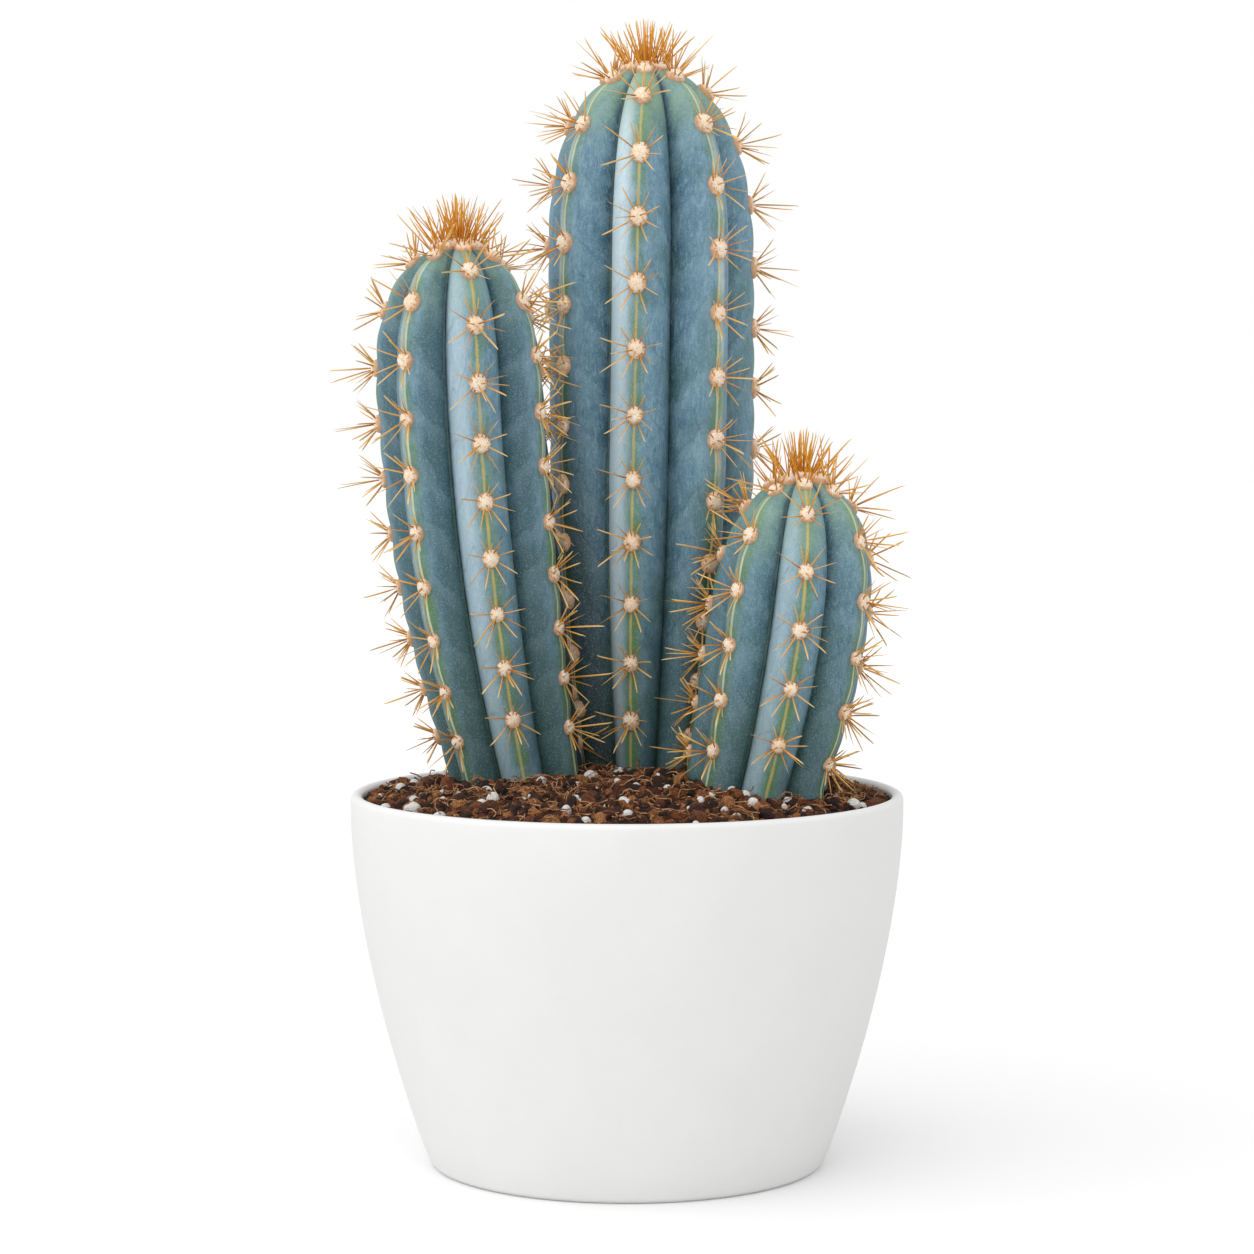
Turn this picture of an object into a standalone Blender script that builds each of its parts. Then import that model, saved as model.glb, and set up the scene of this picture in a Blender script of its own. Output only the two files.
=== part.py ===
# Blue torch cactus (Pilosocereus azureus) with its pot: three ribbed stems standing in potting mix
# in a white pot. Sizes below are in millimetres and degrees. The origin is the middle of the pot's
# flat bottom, +Z is up, and the plant's front faces -Y. Azimuths run from the front towards +X.

import math
import random

import bmesh
import bpy
from mathutils import Matrix, Vector

mm = 0.001
gap = 0.3

# Pot
potHeight = 108.2
rimRadius = 80.0
footRadius = 59.4
footHeight = 5.7
footCorner = 2.6
footCornerOut = 0.4
footCornerStart = -20.0
wallThickness = 3.4
wallFullHeight = 103.0
wallCurve = 1.656
wallRows = 6
lipStart = 140.0
lipPoints = 4
cornerPoints = 3
floorThickness = 4.0
insideCorner = 6.0
insideRowHeights = (40.0, 72.0)
drainRadius = 4.0
drainRingRadius = 32.0
drainCount = 4
drainSides = 16
drainCutDepth = 16.0
turnSteps = 40

# Potting mix
soilEdgeHeight = 105.2
soilMound = 7.6
lumpHeight = 1.7
soilRings = 7
grainCount = 14
grainSizes = (1.8, 3.0)
grainShape = (1.0, 0.8, 0.75, 1.0)
grainSink = 0.55
grainFromWall = 6.0
grainFromStem = 3.0
grainSpacing = 9.0
grainSeed = 11
holeSides = 24
sideStopsBelow = 4.0

# Clods on the mix as crossing waves: turn per mm along x and along y, phase, share of the height
lumpWaves = (
    (0.43, 0.37, 0.9, 0.185),
    (0.43, -0.37, 1.7, 0.185),
    (0.29, -0.51, 0.0, 0.37),
    (0.71, 0.33, 3.57, 0.26),
)

# Ribs, areoles and spines, the same on every stem
ribCount = 7
columnsPerRib = 6
valleyDepth = 0.32
ribFullness = 0.75
domeFullness = 2.3
buriedDepth = 24.0
straightBelow = 111.0
buriedRounding = 9.0
ribFadeDepth = 7.0
footShare = 0.13
domeShare = 0.62
padRadius = 2.65
padTopRadius = 1.45
padHeight = 1.5
padSink = 1.2
padSides = 5
spineRadius = 0.42
spineSink = 1.0
spineRootRise = 0.45
spineRootSpread = 0.93
spineClearance = 0.9
soilClearance = 2.4
crowdingToFoot = 0.12
areoleAboveSoil = 4.5
heightUnit = 100.0
walkStep = 0.5
tipWalkStep = 0.05
tipWalkDepth = 6.0
gatherSteps = 6

# Spines of one areole and of the next one down: clock angle from straight up, lift, length
spinePatterns = (
    ((30.0, 50.0, 10.5), (140.0, 46.0, 13.0), (248.0, 50.0, 11.5)),
    ((70.0, 48.0, 10.0), (205.0, 47.0, 12.5), (295.0, 47.0, 11.5)),
)
angleSpread = 10.0
liftSpread = 5.0
lengthSpread = 0.13

# What a spine may do to stay clear of its neighbours: how far it bends off the skin, and how short
spineBends = (0.0, 0.35, 0.8)
spineShortenings = (1.0, 0.8, 0.62, 0.45)
spineSamples = 7
neighbourReach = 40.0
crownHeadroom = 3.0
crownSkirtDepth = 6.0
crownSkirtSlope = 0.5
cushionMargin = 1.5
cushionSkirt = 4.0

# Crown tuft at each stem's tip
cushionRadius = 6.4
cushionHeight = 2.0
cushionSides = 10
cushionTop = ((0.0, 1.0), (0.6, 0.85), (0.94, 0.45))
cushionUnderside = (1.0, 0.6, 0.0)
crownSpineCount = 13
crownSpineLength = 14.5
crownLengthSpread = 0.1
crownLean = 38.0
crownLeanSpread = 6.0
crownRootShare = 0.72
crownRootRise = 0.6
crownOuterShorter = 0.18
goldenAngle = 137.5
firstAreoleArc = 10.5

# Each stem. Axis x and y: place at middleHeight, lean and bend per heightUnit. ribs: for each rib in
# turn, the first areole's distance from the tip along the crest, and the areoles' spacing. gather:
# how many degrees the side ribs are drawn towards the front rib.
stems = {
    "tall": {
        "top": 319.0,
        "middleHeight": 215.0,
        "axisX": (6.85, 0.1, -0.9),
        "axisY": (28.0, 0.0, 0.0),
        "crestRadius": 30.9,
        "footRadius": 20.8,
        "fullHeight": 208.0,
        "footEase": 1.0,
        "domeHeight": 57.0,
        "frontRib": -9.0,
        "twist": 4.2,
        "gather": 5.0,
        "rows": 17,
        "ribs": (
            (21.9, 19.2), (12.8, 18.8), (18.9, 18.3), (11.6, 18.6),
            (20.0, 18.8), (12.0, 18.4), (13.5, 17.9),
        ),
        "seed": 3,
    },
    "left": {
        "top": 265.6,
        "middleHeight": 190.0,
        "axisX": (-44.6, -10.5, 7.3),
        "axisY": (2.3, -8.3, 0.0),
        "crestRadius": 25.0,
        "footRadius": 20.4,
        "fullHeight": 190.0,
        "footEase": 1.0,
        "domeHeight": 43.6,
        "frontRib": 11.5,
        "twist": 5.1,
        "gather": 0.0,
        "rows": 16,
        "ribs": (
            (17.4, 16.9), (11.5, 16.1), (16.0, 16.5), (11.5, 16.3),
            (18.0, 16.6), (14.2, 16.5), (11.0, 16.7),
        ),
        "seed": 5,
    },
    "right": {
        "top": 199.2,
        "middleHeight": 155.0,
        "axisX": (46.1, 14.1, -13.6),
        "axisY": (-12.0, 0.0, 0.0),
        "crestRadius": 23.8,
        "footRadius": 21.3,
        "fullHeight": 150.0,
        "footEase": 1.0,
        "domeHeight": 41.3,
        "frontRib": 4.6,
        "twist": -0.8,
        "gather": 0.0,
        "rows": 12,
        "ribs": (
            (19.9, 17.3), (12.0, 16.9), (18.0, 16.2), (11.5, 16.4),
            (19.0, 16.0), (18.3, 15.2), (11.0, 16.2),
        ),
        "seed": 7,
    },
}

# Colour and roughness of each finish, and the angle up to which its edges are shaded smooth
finishes = {
    "pot": ((0.84, 0.84, 0.83, 1.0), 0.45, 50.0),
    "soil": ((0.075, 0.035, 0.018, 1.0), 0.95, 40.0),
    "stem": ((0.16, 0.28, 0.35, 1.0), 0.55, 35.0),
    "crown": ((0.66, 0.33, 0.05, 1.0), 0.5, 35.0),
}


def clearScene():
    for thing in list(bpy.data.objects):
        bpy.data.objects.remove(thing, do_unlink=True)


def newCollection(name):
    collection = bpy.data.collections.new(name)
    bpy.context.scene.collection.children.link(collection)
    return collection


def addObject(name, mesh, collection):
    thing = bpy.data.objects.new(name, mesh)
    collection.objects.link(thing)
    return thing


def meshFrom(name, bm):
    bmesh.ops.recalc_face_normals(bm, faces=bm.faces)
    mesh = bpy.data.meshes.new(name)
    bm.to_mesh(mesh)
    bm.free()
    return mesh


def applied(thing, name, collection):
    # The object's evaluated mesh as a plain object; the first one is removed.
    graph = bpy.context.evaluated_depsgraph_get()
    mesh = bpy.data.meshes.new_from_object(thing.evaluated_get(graph))
    bpy.data.objects.remove(thing, do_unlink=True)
    mesh.name = name
    return addObject(name, mesh, collection)


def finish(thing, kind):
    # Gives the object its material and smooth shading.
    colour, roughness, angle = finishes[kind]
    material = bpy.data.materials.new(thing.name)
    material.use_nodes = True
    shader = material.node_tree.nodes["Principled BSDF"]
    shader.inputs["Base Color"].default_value = colour
    shader.inputs["Roughness"].default_value = roughness
    thing.data.materials.append(material)
    thing.data.shade_smooth()
    thing.data.set_sharp_from_angle(angle=math.radians(angle))


def eased(value):
    value = max(0.0, min(1.0, value))
    return value * value * (3.0 - 2.0 * value)


# Pot

def potWallRadius(height):
    # The outer wall is near upright at the rim and slants in more and more towards the foot.
    drop = max(0.0, wallFullHeight - height) / (wallFullHeight - footHeight)
    return rimRadius - (rimRadius - footRadius) * drop ** wallCurve


def insideRadius(height):
    # The inner wall's radius, straight between the outline's points.
    outline = insideOutline()
    for (r, z), (nextR, nextZ) in zip(outline, outline[1:]):
        if z <= height <= nextZ:
            return r + (nextR - r) * (height - z) / (nextZ - z)
    return outline[-1][0]


def arcPoints(centreX, centreZ, radius, start, end, count):
    angles = [math.radians(start + (end - start) * i / (count - 1)) for i in range(count)]
    return [(centreX + radius * math.cos(a), centreZ + radius * math.sin(a)) for a in angles]


def insideOutline():
    # From the floor's corner up the inner wall to where the lip's round begins.
    corner = insideCorner
    foot = floorThickness + corner
    footInside = potWallRadius(foot) - wallThickness
    outline = arcPoints(footInside - corner, foot, corner, -90.0, 0.0, cornerPoints)
    heights = insideRowHeights + (potHeight - wallThickness / 2,)
    return outline + [(potWallRadius(z) - wallThickness, z) for z in heights]


def turned(name, profile, collection, steps=turnSteps):
    # Turns an outline of (radius, height) points about the Z axis.
    curve = bmesh.new()
    corners = [curve.verts.new((x * mm, 0.0, z * mm)) for x, z in profile]
    for a, b in zip(corners, corners[1:]):
        curve.edges.new((a, b))
    mesh = bpy.data.meshes.new(name)
    curve.to_mesh(mesh)
    curve.free()
    thing = addObject(name, mesh, collection)
    screw = thing.modifiers.new("turn", "SCREW")
    screw.steps = steps
    screw.render_steps = steps
    screw.use_merge_vertices = True
    screw.merge_threshold = 0.00001
    return thing


def makePot(collection, cutters):
    lip = wallThickness / 2
    lipCentre = potHeight - lip
    outline = [(0.0, floorThickness)] + insideOutline()
    outline += arcPoints(rimRadius - lip, lipCentre, lip, lipStart, 0.0, lipPoints)
    rowStep = (wallFullHeight - footHeight) / wallRows
    heights = [wallFullHeight - rowStep * (i + 1) for i in range(wallRows)]
    outline += [(potWallRadius(z), z) for z in heights]
    cornerCentre = potWallRadius(0.0) - footCorner + footCornerOut
    outline += arcPoints(cornerCentre, footCorner, footCorner, footCornerStart, -90.0, cornerPoints)
    outline += [(0.0, 0.0)]
    pot = turned("pot", outline, collection)
    drains = bmesh.new()
    for i in range(drainCount):
        angle = 2 * math.pi * (i + 0.5) / drainCount
        place = Vector((math.cos(angle), math.sin(angle), 0.0)) * drainRingRadius * mm
        bmesh.ops.create_cone(
            drains, cap_ends=True, segments=drainSides, radius1=drainRadius * mm,
            radius2=drainRadius * mm, depth=drainCutDepth * mm, matrix=Matrix.Translation(place),
        )
    cutter = addObject("drain_cutter", meshFrom("drain_cutter", drains), cutters)
    cutter.hide_render = True
    cutter.display_type = "WIRE"
    cut = pot.modifiers.new("drains", "BOOLEAN")
    cut.operation = "DIFFERENCE"
    cut.object = cutter
    pot = applied(pot, "pot", collection)
    finish(pot, "pot")


# Stems

def axisPoint(stem, height):
    # The buried foot stands straight; above it the stem leans and bends.
    t = (max(height, straightBelow) - stem["middleHeight"]) / heightUnit
    x, y = (a + b * t + c * t * t for a, b, c in (stem["axisX"], stem["axisY"]))
    return Vector((x, y, height))


def bodyRadius(stem, height):
    # Crest radius of the column without its dome: narrow at the foot, full higher up.
    share = (height - soilLevel(0.0)) / (stem["fullHeight"] - soilLevel(0.0))
    share = max(0.0, min(1.0, share))
    swell = math.sin(math.pi / 2 * share) ** stem["footEase"]
    return stem["footRadius"] + (stem["crestRadius"] - stem["footRadius"]) * swell


def roundedEnd(distance, size):
    # Share of the radius left at a distance past the start of a full, rounded end.
    share = max(0.0, min(1.0, distance / size))
    return (1.0 - share**domeFullness) ** (1.0 / domeFullness)


def bottomHeight():
    return soilEdgeHeight - buriedDepth


def crestRadius(stem, height):
    dome = roundedEnd(height - (stem["top"] - stem["domeHeight"]), stem["domeHeight"])
    foot = roundedEnd(bottomHeight() + buriedRounding - height, buriedRounding)
    return bodyRadius(stem, height) * dome * foot


def ribAzimuth(stem, rib, height):
    turn = stem["twist"] * (height - stem["middleHeight"]) / heightUnit
    around = rib * 360.0 / ribCount
    return stem["frontRib"] + turn + around - stem["gather"] * math.sin(math.radians(around))


def evenAngle(stem, offset):
    # The angle off the front rib that a point would have if the ribs were evenly spaced.
    around = offset
    for attempt in range(gatherSteps):
        around = offset + stem["gather"] * math.sin(math.radians(around))
    return around


def outward(azimuth):
    angle = math.radians(azimuth)
    return Vector((math.sin(angle), -math.cos(angle), 0.0))


def ribShare(offset):
    # 1 on a rib's crest and 0 in a valley, full and round between, for an angle off the crest.
    return abs(math.cos(math.radians(offset) * ribCount / 2)) ** ribFullness


def stemPoint(stem, height, azimuth):
    offset = evenAngle(stem, azimuth - ribAzimuth(stem, 0, height))
    depth = valleyDepth * eased((height - soilEdgeHeight + ribFadeDepth) / ribFadeDepth)
    radius = crestRadius(stem, height) * (1.0 - depth * (1.0 - ribShare(offset)))
    return axisPoint(stem, height) + outward(azimuth) * radius


def crestPoint(stem, rib, height):
    return stemPoint(stem, height, ribAzimuth(stem, rib, height))


def rowHeight(stem, share):
    # Rows lie closer together over the dome and the buried end.
    low = bottomHeight()
    rounds = buriedRounding
    domeStart = stem["top"] - stem["domeHeight"]
    if share < footShare:
        return low + rounds * (1.0 - math.cos(math.pi / 2 * share / footShare))
    if share > domeShare:
        turn = math.pi / 2 * (share - domeShare) / (1.0 - domeShare)
        return domeStart + stem["domeHeight"] * math.sin(turn)
    return low + rounds + (domeStart - low - rounds) * (share - footShare) / (domeShare - footShare)


def makeColumn(name, stem, collection):
    # A sphere's vertices moved onto the ribbed column.
    bm = bmesh.new()
    columns = ribCount * columnsPerRib
    bmesh.ops.create_uvsphere(bm, u_segments=columns, v_segments=stem["rows"], radius=1.0)
    for vertex in bm.verts:
        share = 1.0 - math.acos(max(-1.0, min(1.0, vertex.co.z))) / math.pi
        height = rowHeight(stem, round(share * stem["rows"]) / stem["rows"])
        column = round(math.degrees(math.atan2(vertex.co.y, vertex.co.x)) * columns / 360.0)
        vertex.co = stemPoint(stem, height, ribAzimuth(stem, column / columnsPerRib, height)) * mm
    return addObject(name, meshFrom(name, bm), collection)


def crestHeights(stem, rib):
    # Heights of a rib's areoles, counted down the crest from the tip.
    first, spacing = stem["ribs"][rib]
    height = stem["top"]
    travelled = 0.0
    wanted = first
    whole = stem["top"] - soilEdgeHeight
    point = crestPoint(stem, rib, height)
    while height > soilLevel(point.xy.length) + areoleAboveSoil:
        height -= tipWalkStep if stem["top"] - height < tipWalkDepth else walkStep
        following = crestPoint(stem, rib, height)
        travelled += (following - point).length
        point = following
        if travelled >= wanted:
            if wanted >= firstAreoleArc:
                yield height
            wanted += spacing * (1.0 - crowdingToFoot * (travelled / whole) ** 2)


def areoleFrame(stem, rib, height):
    # The crest point, with unit vectors off the skin, up the crest, and sideways.
    place = crestPoint(stem, rib, height)
    up = crestPoint(stem, rib, height + walkStep) - crestPoint(stem, rib, height - walkStep)
    up.normalize()
    away = outward(ribAzimuth(stem, rib, height))
    away = (away - up * away.dot(up)).normalized()
    return place, away, up, up.cross(away)


def cone(bm, start, direction, length, baseRadius, topRadius, sides):
    turn = direction.to_track_quat("Z", "Y").to_matrix().to_4x4()
    place = Matrix.Translation((start + direction * length / 2) * mm)
    bmesh.ops.create_cone(
        bm, cap_ends=True, segments=sides, radius1=baseRadius * mm, radius2=topRadius * mm,
        depth=length * mm, matrix=place @ turn,
    )


def coneObject(name, collection, *shape):
    bm = bmesh.new()
    cone(bm, *shape)
    return addObject(name, meshFrom(name, bm), collection)


def segmentDistance(a, b, c, d):
    # Smallest distance from points of one straight spine to another.
    run = d - c
    best = math.inf
    for i in range(spineSamples):
        point = a.lerp(b, i / (spineSamples - 1))
        share = max(0.0, min(1.0, (point - c).dot(run) / run.length_squared))
        best = min(best, (point - c - run * share).length)
    return best


def clearOfStems(owner, point):
    for name, stem in stems.items():
        if name == owner:
            continue
        top = stem["top"]
        centre = axisPoint(stem, min(point.z, top))
        if point.z > top + crownSpineLength + crownHeadroom:
            continue
        aside = point.xy - centre.xy
        reach = 0.0
        if point.z < top:
            azimuth = math.degrees(math.atan2(aside.x, -aside.y))
            reach = (stemPoint(stem, point.z, azimuth) - centre).length
        if point.z > top - crownSkirtDepth:
            reach = max(reach, cushionRadius + (point.z - top + crownSkirtDepth) * crownSkirtSlope)
        if aside.length < reach + padHeight + spineClearance:
            return False
    return True


def clearOfCrown(owner, point):
    stem = stems[owner]
    tip = axisPoint(stem, stem["top"])
    sideways = (point.xy - tip.xy).length
    return sideways > cushionRadius + cushionMargin or point.z < stem["top"] - cushionSkirt


def isClear(owner, node, start, end, placed):
    for i in range(1, spineSamples):
        point = start.lerp(end, i / (spineSamples - 1))
        if point.z < soilLevel(point.xy.length) + soilClearance:
            return False
        if not clearOfStems(owner, point):
            return False
        if node.startswith("stem") and not clearOfCrown(owner, point):
            return False
    for other, c, d in placed:
        if other == node or (c - start).length > neighbourReach:
            continue
        if segmentDistance(start, end, c, d) < 2 * spineRadius + spineClearance:
            return False
    return True


def fittedSpine(owner, node, start, direction, away, length, placed):
    # The spine as meant or, where something stands in its way, bent off it or shortened.
    for shortening in spineShortenings:
        for bend in spineBends:
            bent = (direction + away * bend).normalized()
            end = start + bent * length * shortening
            if isClear(owner, node, start, end, placed):
                return end
    return None


def addPad(place, away, repeats):
    coneObject("pad", repeats, place - away * padSink, away, padSink + padHeight,
               padRadius, padTopRadius, padSides)


def addSpine(node, start, end, placed, repeats):
    placed.append((node, start, end))
    run = (end - start).normalized()
    coneObject("spine", repeats, start - run * spineSink, run,
               (end - start).length + spineSink, spineRadius, 0.0, 3)


def areoleSpines(owner, stem, placed, repeats):
    node = "stem_" + owner
    dice = random.Random(stem["seed"])
    for rib in range(ribCount):
        for number, height in enumerate(crestHeights(stem, rib)):
            place, away, up, side = areoleFrame(stem, rib, height)
            if clearOfStems(owner, place + away * padHeight):
                addPad(place, away, repeats)
            for clock, lift, length in spinePatterns[(number + rib) % len(spinePatterns)]:
                clock = math.radians(clock + dice.uniform(-angleSpread, angleSpread))
                lift = math.radians(lift + dice.uniform(-liftSpread, liftSpread))
                length *= 1.0 + dice.uniform(-lengthSpread, lengthSpread)
                flat = up * math.cos(clock) + side * math.sin(clock)
                direction = flat * math.cos(lift) + away * math.sin(lift)
                start = place + away * spineRootRise + flat * spineRootSpread
                end = fittedSpine(owner, node, start, direction, away, length, placed)
                if end is not None:
                    addSpine(node, start, end, placed, repeats)


def joinRepeats(thing, repeats):
    union = thing.modifiers.new("join", "BOOLEAN")
    union.operation = "UNION"
    union.operand_type = "COLLECTION"
    union.collection = repeats
    union.solver = "MANIFOLD"
    name = thing.name
    joined = applied(thing, name, thing.users_collection[0])
    for piece in list(repeats.objects):
        bpy.data.objects.remove(piece, do_unlink=True)
    bpy.data.collections.remove(repeats)
    return joined


def makeStem(owner, stem, collection, placed):
    name = "stem_" + owner
    column = makeColumn(name + "_column", stem, collection)
    repeats = newCollection(name + "_repeats")
    areoleSpines(owner, stem, placed, repeats)
    joined = joinRepeats(column, repeats)
    joined.name = name
    finish(joined, "stem")


# Crown tufts

def domeDrop(stem, radius):
    # How far the dome's crests lie below the tip at a radius.
    return stem["domeHeight"] * (1.0 - roundedEnd(radius, stem["crestRadius"]))


def makeCushion(name, stem, collection):
    # A low woolly cushion that follows the dome, one gap above the ribs' crests.
    outline = [
        (cushionRadius * share, gap - domeDrop(stem, cushionRadius * share) + cushionHeight * rise)
        for share, rise in cushionTop
    ]
    under = [cushionRadius * share for share in cushionUnderside]
    outline += [(radius, gap - domeDrop(stem, radius)) for radius in under]
    cushion = applied(turned(name, outline, collection, cushionSides), name, collection)
    cushion.data.transform(Matrix.Translation(axisPoint(stem, stem["top"]) * mm))
    return cushion


def crownSpines(owner, name, stem, placed, repeats):
    dice = random.Random(stem["seed"] + ribCount)
    tip = axisPoint(stem, stem["top"])
    up = Vector((0.0, 0.0, 1.0))
    for i in range(crownSpineCount):
        share = math.sqrt((i + 0.5) / crownSpineCount)
        sideways = outward(i * goldenAngle)
        lean = math.radians(crownLean * share + dice.uniform(-crownLeanSpread, crownLeanSpread))
        direction = up * math.cos(lean) + sideways * math.sin(lean)
        radius = cushionRadius * crownRootShare * share
        rise = gap + cushionHeight * crownRootRise - domeDrop(stem, radius)
        start = tip + sideways * radius + up * rise
        spread = dice.uniform(-crownLengthSpread, crownLengthSpread)
        length = crownSpineLength * (1.0 - crownOuterShorter * share + spread)
        if isClear(owner, name, start, start + direction * length, placed):
            addSpine(name, start, start + direction * length, placed, repeats)


def makeCrown(owner, stem, collection, placed):
    name = "crown_" + owner
    cushion = makeCushion(name + "_cushion", stem, collection)
    repeats = newCollection(name + "_repeats")
    crownSpines(owner, name, stem, placed, repeats)
    joined = joinRepeats(cushion, repeats)
    joined.name = name
    finish(joined, "crown")


# Potting mix

def soilLevel(radius):
    share = min(1.0, radius / (rimRadius - wallThickness))
    return soilEdgeHeight + soilMound * (1.0 - share * share)


def soilLump(x, y):
    return lumpHeight * sum(share * math.sin(a * x + b * y + phase) for a, b, phase, share in lumpWaves)


def makeSoil(collection, cutters):
    inner = [(r - gap, z) for r, z in insideOutline()]
    side = [(r, max(z, floorThickness + gap)) for r, z in inner if z < soilEdgeHeight - sideStopsBelow]
    edgeRadius = insideRadius(soilEdgeHeight) - gap
    topRings = [edgeRadius * (1.0 - i / soilRings) for i in range(soilRings + 1)]
    outline = [(0.0, floorThickness + gap)] + side
    outline += [(r, soilLevel(r)) for r in topRings]
    soil = applied(turned("soil", outline, collection), "soil", collection)
    for vertex in soil.data.vertices:
        x, y, z = vertex.co / mm
        if z > soilEdgeHeight - sideStopsBelow / 2:
            vertex.co.z += soilLump(x, y) * mm
    for name, stem in stems.items():
        cutter = holeCutter(name, stem, cutters)
        cut = soil.modifiers.new("hole_" + name, "BOOLEAN")
        cut.operation = "DIFFERENCE"
        cut.object = cutter
    soil = applied(soil, "soil", collection)
    grains = newCollection("soil_grains")
    addGrains(grains)
    finish(joinRepeats(soil, grains), "soil")


def holeCutter(name, stem, cutters):
    # A plain round hole down from the top, one gap wider than the stem's foot.
    low = bottomHeight() - gap
    surface = soilLevel(0.0) + lumpHeight
    bottom = axisPoint(stem, low)
    lean = (axisPoint(stem, surface) - bottom).xy.length
    radius = (bodyRadius(stem, surface) + lean + gap) / math.cos(math.pi / holeSides)
    cutter = coneObject("hole_cutter_" + name, cutters, bottom, Vector((0.0, 0.0, 1.0)),
                        potHeight, radius, radius, holeSides)
    cutter.hide_render = True
    cutter.display_type = "WIRE"
    return cutter


def addGrains(grains):
    # White perlite grains half sunk in the top, clear of the stems.
    dice = random.Random(grainSeed)
    spots = []
    while len(spots) < grainCount:
        angle = dice.uniform(0.0, 2 * math.pi)
        radius = (rimRadius - wallThickness - grainFromWall) * math.sqrt(dice.random())
        size = dice.uniform(*grainSizes)
        spot = Vector((radius * math.sin(angle), -radius * math.cos(angle)))
        nearStem = any(
            (spot - axisPoint(stem, soilLevel(radius)).xy).length
            < bodyRadius(stem, soilLevel(radius)) + size + grainFromStem
            for stem in stems.values()
        )
        if nearStem or any((spot - other).length < grainSpacing for other in spots):
            continue
        spots.append(spot)
        bm = bmesh.new()
        height = soilLevel(radius) + soilLump(*spot) + size * (1.0 - 2.0 * grainSink)
        turn = Matrix.Rotation(dice.uniform(0.0, math.pi), 4, "Z")
        place = Matrix.Translation(Vector((spot.x, spot.y, height)) * mm)
        flat = Matrix.Diagonal(grainShape)
        bmesh.ops.create_icosphere(bm, subdivisions=1, radius=size * mm, matrix=place @ turn @ flat)
        addObject("grain", meshFrom("grain", bm), grains)


def main():
    clearScene()
    parts = newCollection("blue_torch_cactus")
    cutters = newCollection("cutters")
    makePot(parts, cutters)
    makeSoil(parts, cutters)
    placed = []
    for owner, stem in stems.items():
        makeCrown(owner, stem, parts, placed)
    for owner, stem in stems.items():
        makeStem(owner, stem, parts, placed)


main()
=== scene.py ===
# Blue torch cactus in its white pot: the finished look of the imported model.
# Everything is in metres in the model's own frame. The plant's front faces -Y, and azimuths run
# from the front towards +X.

import math
import random
import re

import bpy
import numpy as np
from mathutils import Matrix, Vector


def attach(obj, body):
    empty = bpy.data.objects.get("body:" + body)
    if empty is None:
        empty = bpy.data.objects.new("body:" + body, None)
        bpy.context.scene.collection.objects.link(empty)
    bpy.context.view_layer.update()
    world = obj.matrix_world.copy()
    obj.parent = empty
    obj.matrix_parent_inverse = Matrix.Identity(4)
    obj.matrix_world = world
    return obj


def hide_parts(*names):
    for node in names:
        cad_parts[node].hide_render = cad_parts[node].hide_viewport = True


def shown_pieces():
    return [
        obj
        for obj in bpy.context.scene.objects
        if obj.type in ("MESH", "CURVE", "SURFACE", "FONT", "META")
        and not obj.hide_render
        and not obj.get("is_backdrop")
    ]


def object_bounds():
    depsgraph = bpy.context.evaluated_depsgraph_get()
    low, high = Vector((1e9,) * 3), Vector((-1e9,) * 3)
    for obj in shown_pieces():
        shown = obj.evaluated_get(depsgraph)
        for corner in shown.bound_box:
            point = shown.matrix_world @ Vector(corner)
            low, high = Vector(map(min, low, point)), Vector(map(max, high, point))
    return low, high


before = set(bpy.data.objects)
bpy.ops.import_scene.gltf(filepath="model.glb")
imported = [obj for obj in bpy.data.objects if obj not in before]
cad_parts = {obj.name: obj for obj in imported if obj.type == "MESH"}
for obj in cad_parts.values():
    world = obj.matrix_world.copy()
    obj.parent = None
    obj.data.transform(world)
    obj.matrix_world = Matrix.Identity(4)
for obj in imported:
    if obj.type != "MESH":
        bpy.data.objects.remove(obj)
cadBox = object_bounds()
mm = 0.001


# Node helpers

class Term:
    # A socket that adds, multiplies and so on; every step becomes one math node.
    def __init__(self, tree, socket):
        self.tree = tree
        self.socket = socket


def giveOperator(name, operation):
    setattr(Term, "__%s__" % name, lambda term, other: maths(term.tree, operation, term, other))
    setattr(Term, "__r%s__" % name, lambda term, other: maths(term.tree, operation, other, term))


for name, operation in (("add", "ADD"), ("sub", "SUBTRACT"), ("mul", "MULTIPLY"), ("truediv", "DIVIDE"),
                        ("pow", "POWER")):
    giveOperator(name, operation)


def feed(tree, value, socket):
    # Links a term or socket, or sets a plain value.
    value = value.socket if isinstance(value, Term) else value
    if isinstance(value, bpy.types.NodeSocket):
        tree.links.new(value, socket)
    else:
        socket.default_value = value


def addNode(tree, kind, inputs=None, **settings):
    made = tree.nodes.new(kind)
    for label, value in settings.items():
        setattr(made, label, value)
    for label, value in (inputs or {}).items():
        feed(tree, value, made.inputs[label])
    return made


def geometryNode(tree, kind, inputs=None, **settings):
    # A geometry node's first output.
    return addNode(tree, "GeometryNode" + kind, inputs, **settings).outputs[0]


def maths(tree, operation, *values):
    made = addNode(tree, "ShaderNodeMath", dict(enumerate(values)), operation=operation)
    return Term(tree, made.outputs[0])


def clamped(tree, value, low=0.0, high=1.0):
    return maths(tree, "MINIMUM", maths(tree, "MAXIMUM", value, low), high)


def ramped(tree, value, start, end, low=0.0, high=1.0):
    # Goes smoothly from low to high while the value goes from start to end.
    made = addNode(tree, "ShaderNodeMapRange", {
        "Value": value, "From Min": start, "From Max": end, "To Min": low, "To Max": high,
    }, interpolation_type="SMOOTHSTEP")
    return Term(tree, made.outputs[0])


def vectorOf(tree, x, y, z):
    return addNode(tree, "ShaderNodeCombineXYZ", {"X": x, "Y": y, "Z": z}).outputs[0]


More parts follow.
